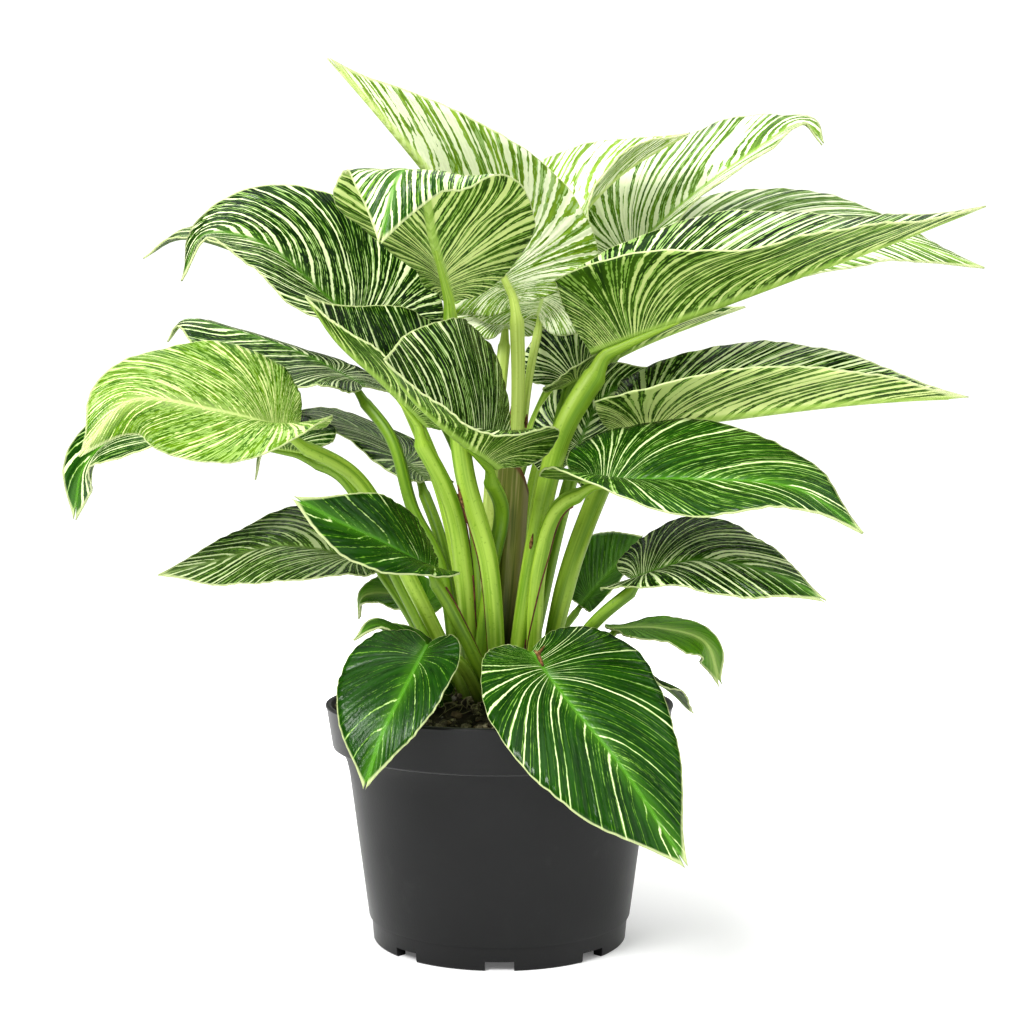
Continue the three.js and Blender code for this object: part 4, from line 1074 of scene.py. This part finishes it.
def line_layer(density, shift, boldness, gaps):
    """One set of lines: how closely they stand, and how often they are broken."""
    count = times(vein, times(stripe_in["Lines"], density))
    count = plus(count, scaled(drift, 0.9 * density, shift))
    count = plus(count, times(tremble, 0.16))
    cell = sum_up("FLOOR", count)
    offset = minus(minus(count, cell), 0.5)
    chance = effect_node("TexWhiteNoise", bundle(cell, right_side, stripe_in["Seed"]))
    draws = effect_node("SeparateColor", chance.outputs["Color"]).outputs
    break_seed = plus(stripe_in["Seed"], right_side)
    breaks = cloud(bundle(times(outward, 4.0 * gaps), times(cell, 7.13), break_seed), 4.0)
    breaks = scaled(breaks, 2.0, -1.0)
    breaks = scaled(breaks, times(stripe_in["Broken"], 2.4 * gaps), 1.0)
    width = scaled(times(draws[0], draws[0]), 1.1, 0.5)
    width = times(times(width, boldness), breaks)
    width = times(width, scaled(outward, -0.3, 1.15))
    width = times(width, scaled(patches, 1.2, 0.4))
    gap = sum_up("ABSOLUTE", plus(offset, scaled(draws[1], -0.5, 0.25)))
    gap = scaled(minus(flecks, 0.5), times(stripe_in["Broken"], 0.32), gap)
    edge = times(width, 0.5)
    soft = 0.045 * density**0.5
    covered = spread(gap, minus(edge, soft), plus(edge, soft), 1.0, 0.0)
    return times(covered, spread(width, -0.05, 0.24, 0.0, 1.0))


main_lines = line_layer(1.0, 0.0, bold, 1.0)
fine_lines = line_layer(3.3, 0.4, times(stripe_in["Fine"], 0.3), 3.0)
fine_lines = times(fine_lines, spread(vein, 0.84, 0.96, 0.55, 0.1))
feed(sum_up("MAXIMUM", main_lines, fine_lines), stripe_out["Line"])
streak_place = bundle(
    times(outward, 2.5), times(vein, times(stripe_in["Lines"], 1.6)), stripe_in["Seed"]
)
feed(spread(cloud(streak_place, 3.0), 0.25, 0.75, 0.0, 1.0), stripe_out["Tone"])
ridge = sum_up("SINE", times(vein, times(stripe_in["Lines"], 9.0)))
feed(plus(ridge, times(vein_cloud(26.0, 110.0, 60.0, 3.0), 3.0)), stripe_out["Relief"])

# Leaf skin: the two greens of a side, the cream lines with their lime edges, the midrib
# and the thin cream margin.
LIME_EDGE = (0.19, 0.4, 0.035, 1)
CREAM_MARGIN = (0.6, 0.68, 0.33, 1)
SKIN_MASKS = ("Line", "Tone", "Under", "From rib", "From edge")
SIDE_COLOURS = ("Deep", "Green", "Stripe", "Rib")
SKIN_COLOURS = [side + name for side in ("", "Under ") for name in SIDE_COLOURS]
leaf_skin, skin_in, skin_out = new_effect(
    "Leaf skin",
    [(name, "Float") for name in SKIN_MASKS] + [(name, "Color") for name in SKIN_COLOURS],
    [("Colour", "Color"), ("Roughness", "Float")],
)
line_edge = spread(skin_in["Line"], 0.02, 0.5, 0.0, 0.85)
line_core = spread(skin_in["Line"], 0.35, 0.95, 0.0, 1.0)


def one_side(side, halo, halo_reach, rib_width):
    green = blend(skin_in["Tone"], skin_in[side + "Deep"], skin_in[side + "Green"])
    glow = spread(skin_in["From rib"], 0.5, halo_reach, halo, 0.0)
    green = blend(glow, green, skin_in[side + "Rib"])
    striped = blend(line_core, blend(line_edge, green, LIME_EDGE), skin_in[side + "Stripe"])
    rib = spread(skin_in["From rib"], 0.5 * rib_width, 1.3 * rib_width, 0.8, 0.0)
    return blend(rib, striped, skin_in[side + "Rib"])


upper_skin = one_side("", 0.38, 6.0, 1.0)
skin = blend(skin_in["Under"], upper_skin, one_side("Under ", 0.25, 4.0, 1.8))
margin = spread(skin_in["From edge"], 0.08, 0.34, 0.85, 0.0)
feed(blend(margin, skin, CREAM_MARGIN), skin_out["Colour"])
feed(scaled(skin_in["Under"], 0.24, 0.24), skin_out["Roughness"])

# Looks of the leaves: bold lines a half, their boldness left and right, how broken they
# are, strength of the fine lines, then the colours of the upper side and of the underside.
DARK = ((0.0015, 0.012, 0.0005), (0.012, 0.05, 0.002), (0.76, 0.84, 0.5), (0.1, 0.26, 0.018))
UNDER = ((0.012, 0.04, 0.0008), (0.06, 0.145, 0.004), (0.66, 0.77, 0.3), (0.36, 0.54, 0.1))
PLAIN = ((0.016, 0.065, 0.001), (0.045, 0.15, 0.003), (0.08, 0.2, 0.01), (0.1, 0.26, 0.015))
BRIGHT = ((0.045, 0.15, 0.002), (0.1, 0.26, 0.006), (0.2, 0.36, 0.04), (0.4, 0.55, 0.15))
# The pale palette is partly the pale leaves' own cream and lime and partly painted light, made
# lighter to stand for light shining through the leaves.
PALE_AND_BACKLIT = ((0.07, 0.16, 0.003), (0.3, 0.47, 0.035), (0.88, 0.93, 0.66), (0.6, 0.75, 0.24))
LIME = ((0.03, 0.11, 0.001), (0.16, 0.3, 0.003), (0.72, 0.8, 0.34), (0.66, 0.78, 0.3))
FRESH = ((0.02, 0.07, 0.002), (0.15, 0.29, 0.014), (0.8, 0.87, 0.58), (0.3, 0.5, 0.08))
GREY = ((0.008, 0.026, 0.002), (0.05, 0.105, 0.016), (0.6, 0.68, 0.38), (0.14, 0.23, 0.05))
MID = ((0.005, 0.034, 0.0012), (0.018, 0.085, 0.004), (0.76, 0.85, 0.48), (0.1, 0.3, 0.018))
LOOKS = {
    "leaf_01": (54, 0.6, 0.6, 1.1, 1.3, PALE_AND_BACKLIT, PALE_AND_BACKLIT),
    "leaf_02": (52, 0.66, 0.66, 1.1, 1.3, PALE_AND_BACKLIT, PALE_AND_BACKLIT),
    "leaf_03": (38, 0.46, 0.46, 0.5, 1.4, MID, UNDER),
    "leaf_04": (30, 0.22, 0.22, 0.5, 0.9, DARK, UNDER),
    "leaf_05": (44, 0.36, 0.36, 0.6, 1.5, DARK, UNDER),
    "leaf_06": (38, 0.28, 0.28, 0.6, 0.9, DARK, UNDER),
    "leaf_07": (30, 0.2, 0.2, 0.5, 0.9, DARK, UNDER),
    "leaf_08": (62, 0.24, 0.24, 1.3, 1.7, LIME, LIME),
    "leaf_09": (18, 0.1, 0.1, 0.7, 0.2, MID, UNDER),
    "leaf_10": (30, 0.27, 0.27, 0.4, 0.8, DARK, UNDER),
    "leaf_11": (28, 0.28, 0.28, 0.4, 0.8, GREY, GREY),
    "leaf_12": (24, 0.24, 0.24, 0.5, 0.7, MID, UNDER),
    "leaf_13": (30, 0.3, 0.3, 0.5, 0.9, GREY, GREY),
    "leaf_14": (20, 0.05, 0.05, 0.3, 0.3, BRIGHT, BRIGHT),
    "leaf_15": (20, 0.03, 0.03, 0.3, 0.3, PLAIN, PLAIN),
    "leaf_16": (26, 0.22, 0.22, 0.3, 0.6, GREY, GREY),
    "leaf_17": (20, 0.07, 0.07, 0.55, 0.15, MID, UNDER),
    "leaf_18": (34, 0.14, 0.13, 0.35, 0.35, MID, UNDER),
    "leaf_19": (40, 0.52, 0.52, 0.6, 1.3, FRESH, UNDER),
    "leaf_20": (42, 0.68, 0.8, 0.6, 1.3, FRESH, UNDER),
    "leaf_21": (34, 0.32, 0.32, 0.4, 0.9, DARK, UNDER),
    "leaf_22": (30, 0.46, 0.46, 0.4, 1.0, DARK, UNDER),
    "leaf_23": (30, 0.32, 0.32, 0.4, 1.0, DARK, UNDER),
    "leaf_24": (42, 0.38, 0.62, 0.6, 1.4, DARK, UNDER),
    "leaf_25": (28, 0.15, 0.15, 0.4, 0.6, MID, UNDER),
    "leaf_26": (28, 0.3, 0.3, 0.4, 0.9, DARK, UNDER),
    "leaf_27": (20, 0.03, 0.03, 0.3, 0.3, PLAIN, PLAIN),
    "leaf_28": (20, 0.03, 0.03, 0.3, 0.3, BRIGHT, BRIGHT),
    "leaf_29": (20, 0.1, 0.1, 0.3, 0.4, GREY, GREY),
    "leaf_30": (38, 0.8, 0.8, 0.6, 1.1, PALE_AND_BACKLIT, PALE_AND_BACKLIT),
}


STRIPE_NUMBERS = ("Lines", "Bold left", "Bold right", "Broken", "Fine", "Seed")
SKIN_LAYERS = {"Under": "under", "From rib": "from_rib", "From edge": "from_edge"}


def paint_leaf(name):
    *numbers, upper, lower = LOOKS[name]
    finish, shader = new_finish(name + "_skin")
    chart = paint_node(finish, "UVMap", uv_map="UVMap")
    stripes = paint_node(finish, "Group", node_tree=pinstripes)
    feed(chart.outputs["UV"], stripes.inputs["Map"])
    for socket, value in zip(STRIPE_NUMBERS, (*numbers, 3.7 * int(name[-2:]))):
        feed(value, stripes.inputs[socket])
    skin = paint_node(finish, "Group", node_tree=leaf_skin)
    for socket in ("Line", "Tone"):
        feed(stripes.outputs[socket], skin.inputs[socket])
    for socket, layer in SKIN_LAYERS.items():
        reader = paint_node(finish, "Attribute", attribute_name=layer)
        feed(reader.outputs["Fac"], skin.inputs[socket])
    for socket, colour in zip(SKIN_COLOURS, upper + lower):
        feed((*colour, 1), skin.inputs[socket])
    feed(skin.outputs["Colour"], shader.inputs["Base Color"])
    feed(skin.outputs["Roughness"], shader.inputs["Roughness"])
    roughen(finish, shader, stripes.outputs["Relief"], 0.35, 0.0003)
    shader.inputs["Specular IOR Level"].default_value = 0.3
    return finish


# Stalk skin: smooth lime green with soft lengthwise shades, small darker flecks, pale
# lines along the lips of the groove, partly their own pale edge and partly painted
# highlight, and painted shade that darkens the foot where the stalks crowd round the
# crown. u goes round, v goes up.
stalk_effect, stalk_in, stalk_out = new_effect(
    "Stalk skin",
    [("Map", "Vector"), ("Place", "Vector"), ("Dark", "Color"), ("Light", "Color")],
    [("Colour", "Color"), ("Relief", "Float")],
)
stalk_round, stalk_up, _ = split(stalk_in["Map"])
stalk_level = split(stalk_in["Place"])[2]


def stalk_cloud(around, up, detail):
    return cloud(bundle(times(stalk_round, around), times(stalk_up, up), 0.0), detail)


# colour of the painted shade at the foot of the stalks, where they crowd round the crown
STALK_FOOT_SHADE_COLOUR = (0.05, 0.075, 0.006, 1)
stalk_fibre = stalk_cloud(70.0, 5.0, 2.0)
stalk_tone = scaled(stalk_fibre, 0.25, times(stalk_cloud(7.0, 2.2, 2.0), 0.75))
stalk_tone = spread(stalk_tone, 0.32, 0.66, 0.0, 1.0)
stalk_green = blend(stalk_tone, stalk_in["Dark"], stalk_in["Light"])
stalk_flecks = spread(cloud(stalk_in["Place"], 2.0, 650.0), 0.6, 0.72, 0.0, 0.5)
stalk_green = blend(stalk_flecks, stalk_green, stalk_in["Dark"])
from_crest = sum_up("ABSOLUTE", scaled(stalk_round, 2.0 * math.pi, -math.pi))
from_lip = sum_up("ABSOLUTE", minus(from_crest, LIP_TURN))
# pale lines along the groove's lips: partly the lips' own pale edge and partly painted highlight
stalk_green = blend(spread(from_lip, 0.03, 0.2, 0.6, 0.0), stalk_green, stalk_in["Light"])
# painted shade: the stalks darken towards their feet, where they stand close together round the
# crown
stalk_foot_shade = spread(stalk_level, 0.104, 0.142, 0.75, 0.0)
feed(blend(stalk_foot_shade, stalk_green, STALK_FOOT_SHADE_COLOUR), stalk_out["Colour"])
feed(stalk_fibre, stalk_out["Relief"])

# The pale finish is partly the young stalks' own pale green and partly painted light, made lighter
# to make up for the shade they stand in. The darker green finish is partly the older stalks' own
# green and partly painted shade, for stalks that stand in shadow.
STALK_FINISHES = {
    "pale_and_lit_stalk": ((0.42, 0.56, 0.09), (0.66, 0.8, 0.24)),
    "bright_stalk": ((0.15, 0.3, 0.01), (0.42, 0.6, 0.08)),
    "green_and_shaded_stalk": ((0.09, 0.2, 0.006), (0.24, 0.4, 0.03)),
}
stalk_finishes = {}
for finish_name, (dark, light) in STALK_FINISHES.items():
    finish, shader = new_finish(finish_name)
    chart = paint_node(finish, "UVMap", uv_map="UVMap")
    place = paint_node(finish, "TexCoord")
    effect = paint_node(finish, "Group", node_tree=stalk_effect)
    feed(chart.outputs["UV"], effect.inputs["Map"])
    feed(place.outputs["Object"], effect.inputs["Place"])
    feed((*dark, 1), effect.inputs["Dark"])
    feed((*light, 1), effect.inputs["Light"])
    feed(effect.outputs["Colour"], shader.inputs["Base Color"])
    roughen(finish, shader, effect.outputs["Relief"], 0.25, 0.0003)
    shader.inputs["Roughness"].default_value = 0.38
    shader.inputs["Specular IOR Level"].default_value = 0.4
    stalk_finishes[finish_name] = finish
PALE_AND_LIT_STALKS = ("leaf_01", "leaf_02", "leaf_30")
GREEN_AND_SHADED_STALKS = (
    "leaf_04", "leaf_09", "leaf_10", "leaf_11", "leaf_12", "leaf_13", "leaf_14", "leaf_15",
    "leaf_16", "leaf_19", "leaf_22", "leaf_23", "leaf_26", "leaf_27", "leaf_28", "leaf_29",
)

for leaf in LEAVES:
    name = leaf["name"]
    petiole = build_stalk(leaf)
    finish_name = "bright_stalk"
    if name in PALE_AND_LIT_STALKS:
        finish_name = "pale_and_lit_stalk"
    elif name in GREEN_AND_SHADED_STALKS:
        finish_name = "green_and_shaded_stalk"
    petiole.data.materials.append(stalk_finishes[finish_name])
    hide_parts(name if leaf.get("fused") else name + "_stalk")
    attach(petiole, "root")
    lamina = build_blade(leaf)
    lamina.data.materials.append(paint_leaf(name))
    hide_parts(name if leaf.get("fused") else name + "_blade")
    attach(lamina, "root")


# Sheath: the thin papery scale leaf that wrapped the newest stalks, rolled into a sleeve
# that stands on the crown and is cut off slantwise at its dry tip.
SHEATH_ROUTE = [(-1, -5, 126.4), (-1, -5, 133), (1.5, -5, 150), (7.5, -5, 229)]
SHEATH_HALF_WIDTH = 6.8
SHEATH_HALF_DEPTH = 6.4
SHEATH_THICKNESS = 0.7
SHEATH_STEPS = 160
sheath_sleeve, sheath_x, sheath_y = new_grid("sheath_sleeve", 40, 60)
sheath_way = Route(SHEATH_ROUTE)
sheath_turn = -sheath_x * math.pi
slant = 1 - 0.22 * (0.5 + 0.5 * np.cos(sheath_turn - 0.9))
sheath_share = (sheath_y + 1) / 2 * slant
sheath_firsts, sheath_seconds = carried_frames(
    sheath_way, np.linspace(0, 1, SHEATH_STEPS), np.array([1.0, 0, 0])
)
sheath_pick = np.clip((sheath_share * (SHEATH_STEPS - 1)).astype(int), 0, SHEATH_STEPS - 1)
ripple = 1 + 0.02 * np.sin(7 * sheath_turn + 3 * sheath_share)
sheath_wide = (SHEATH_HALF_WIDTH * ripple * np.cos(sheath_turn))[:, None]
sheath_deep = (SHEATH_HALF_DEPTH * ripple * np.sin(sheath_turn))[:, None]
sheath_places = sheath_way.place(sheath_share) + sheath_firsts[sheath_pick] * sheath_wide
sheath_places = sheath_places + sheath_seconds[sheath_pick] * sheath_deep
set_places(sheath_sleeve.data, sheath_places)
close_rolled(sheath_sleeve, lids=False)
finish_modifier(sheath_sleeve, "SOLIDIFY", thickness=SHEATH_THICKNESS * MM, offset=-1)
bpy.ops.object.shade_smooth_by_angle(angle=math.radians(50))
sheath_paper, sheath_shader = new_finish("sheath_paper")
sheath_chart = paint_node(sheath_paper, "UVMap", uv_map="UVMap")
sheath_round, sheath_up, _ = split(sheath_chart.outputs["UV"])
sheath_fibres = cloud(bundle(times(sheath_round, 40.0), times(sheath_up, 2.5), 0.0), 4.0)
sheath_colour = ramp(
    sheath_paper,
    [(0.3, (0.1, 0.13, 0.012)), (0.5, (0.2, 0.22, 0.035)), (0.72, (0.38, 0.33, 0.13))],
    sheath_fibres,
)
sheath_pink = spread(sheath_round, 0.56, 0.72, 0.65, 0.0)
sheath_skin = blend(sheath_pink, sheath_colour, (0.4, 0.3, 0.17, 1))
# painted shade: the sleeve darkens towards its foot, where it stands among the crowded stalks
sheath_foot_shade = spread(sheath_up, 0.1, 0.5, 0.75, 0.0)
sheath_skin = blend(sheath_foot_shade, sheath_skin, (0.04, 0.05, 0.006, 1))
sheath_dry = spread(sheath_up, 0.955, 0.98, 0.0, 0.9)
feed(blend(sheath_dry, sheath_skin, (0.14, 0.05, 0.02, 1)), sheath_shader.inputs["Base Color"])
sheath_shader.inputs["Roughness"].default_value = 0.45
sheath_sleeve.data.materials.append(sheath_paper)
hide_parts("sheath")
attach(sheath_sleeve, "root")


# Dry edges: the thin red-brown margins left along stalks and on the sleeve where their
# papery wings have dried back, each no thicker than a thread.
EDGE_RADIUS = 0.42
EDGE_RUNS = [
    ("leaf_09", (0.95, 0.8, 0.64, 0.5), (24, 24, 24, 18)),
    ("leaf_07", (0.48, 0.36, 0.26, 0.14), (-46, -50, -48, -20)),
    ("leaf_07", (0.78, 0.63, 0.45), (-30, -36, -30)),
    ("leaf_03", (0.58, 0.47, 0.33, 0.19, 0.1), (128, 104, 102, 102, 118)),
    ("leaf_25", (0.97, 0.86, 0.76, 0.62, 0.47, 0.35, 0.2), (160, 162, 170, 124, 80, 40, 20)),
    ("leaf_05", (0.6, 0.575, 0.55), (-160, -163, -160)),
    ("leaf_05", (0.2, 0.12, 0.05), (150, 152, 150)),
]
EDGE_TAPER = (1.5, 0.4)
leaves_by_name = {leaf["name"]: leaf for leaf in LEAVES}
edge_routes = []
for name, shares, turns in EDGE_RUNS:
    fine_shares = np.linspace(0, 1, 3 * len(shares))
    on_skin = stalk_points(
        leaves_by_name[name], along(shares, fine_shares), np.radians(along(turns, fine_shares))
    )
    radii = along(EDGE_TAPER, fine_shares)
    edge_routes.append([(*point, radius) for point, radius in zip(on_skin, radii)])
SLEEVE_EDGE_TURN = math.radians(-38)
sleeve_edge = sheath_way.place(np.linspace(0.86, 0.35, 12)) + (
    SHEATH_HALF_WIDTH * math.cos(SLEEVE_EDGE_TURN),
    SHEATH_HALF_DEPTH * math.sin(SLEEVE_EDGE_TURN),
    0,
)
edge_routes.append([(*point, 1.1) for point in sleeve_edge])
dry_edges = lay_thread("dry_edges", edge_routes, EDGE_RADIUS)
edge_paper, edge_shader = new_finish("dry_edge_paper")
edge_colour = ramp(
    edge_paper,
    [(0.3, (0.05, 0.012, 0.006)), (0.55, (0.13, 0.035, 0.015)), (0.75, (0.24, 0.1, 0.04))],
    object_noise(edge_paper, Scale=300, Detail=3),
)
feed(edge_colour, edge_shader.inputs["Base Color"])
edge_shader.inputs["Roughness"].default_value = 0.6
dry_edges.data.materials.append(edge_paper)
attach(dry_edges, "root")


# Dry tips: short pointed ends of old papery wings that are left standing on stalks, and
# the healed brown tear at the foot of the front leaf. Both are thin, dry and corky.
TIP_RADIUS = 0.85
TIP_TAPER = (0.25, 0.8, 1.1, 0.6)
DRY_TIPS = [
    ("leaf_01", (0.755, 0.735, 0.715, 0.69), 80),
    ("leaf_02", (0.74, 0.73, 0.715, 0.7), 60),
    ("leaf_03", (0.6, 0.585, 0.565, 0.54), 128),
    ("leaf_05", (0.51, 0.495, 0.48, 0.465), 80),
]
TORN_LEAF = "leaf_18"
TEARS = [
    [(0.0, 0.03, 0.3), (0.02, 0.035, 0.35), (0.05, 0.025, 0.3), (0.09, 0.01, 0.0)],
    [(0.0, 0.15, 1.15), (0.015, 0.09, 0.75), (0.03, 0.04, 0.35), (0.055, 0.02, 0.2)],
]
tip_routes = []
for name, shares, turn in DRY_TIPS:
    on_skin = stalk_points(leaves_by_name[name], np.array(shares), np.full(4, math.radians(turn)))
    tip_routes.append([(*point, radius) for point, radius in zip(on_skin, TIP_TAPER)])
for tear in TEARS:
    shares, outs, lifts = np.array(tear).T
    blade = BladeSurface(leaves_by_name[TORN_LEAF])
    torn, torn_normal, _ = blade.place(shares, outs, np.full(4, -1.0))
    torn = torn + torn_normal * lifts[:, None]
    tip_routes.append([(*point, radius) for point, radius in zip(torn, TIP_TAPER)])
dry_tips = lay_thread("dry_tips", tip_routes, TIP_RADIUS, sides=8)
tip_cork, tip_shader = new_finish("dry_tip_cork")
tip_tone = object_noise(tip_cork, Scale=700, Detail=4)
tip_colour = ramp(
    tip_cork,
    [(0.35, (0.05, 0.018, 0.005)), (0.55, (0.2, 0.09, 0.025)), (0.7, (0.38, 0.24, 0.1))],
    tip_tone,
)
feed(tip_colour, tip_shader.inputs["Base Color"])
roughen(tip_cork, tip_shader, tip_tone, 0.6, 0.0004)
tip_shader.inputs["Roughness"].default_value = 0.8
dry_tips.data.materials.append(tip_cork)
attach(dry_tips, "root")
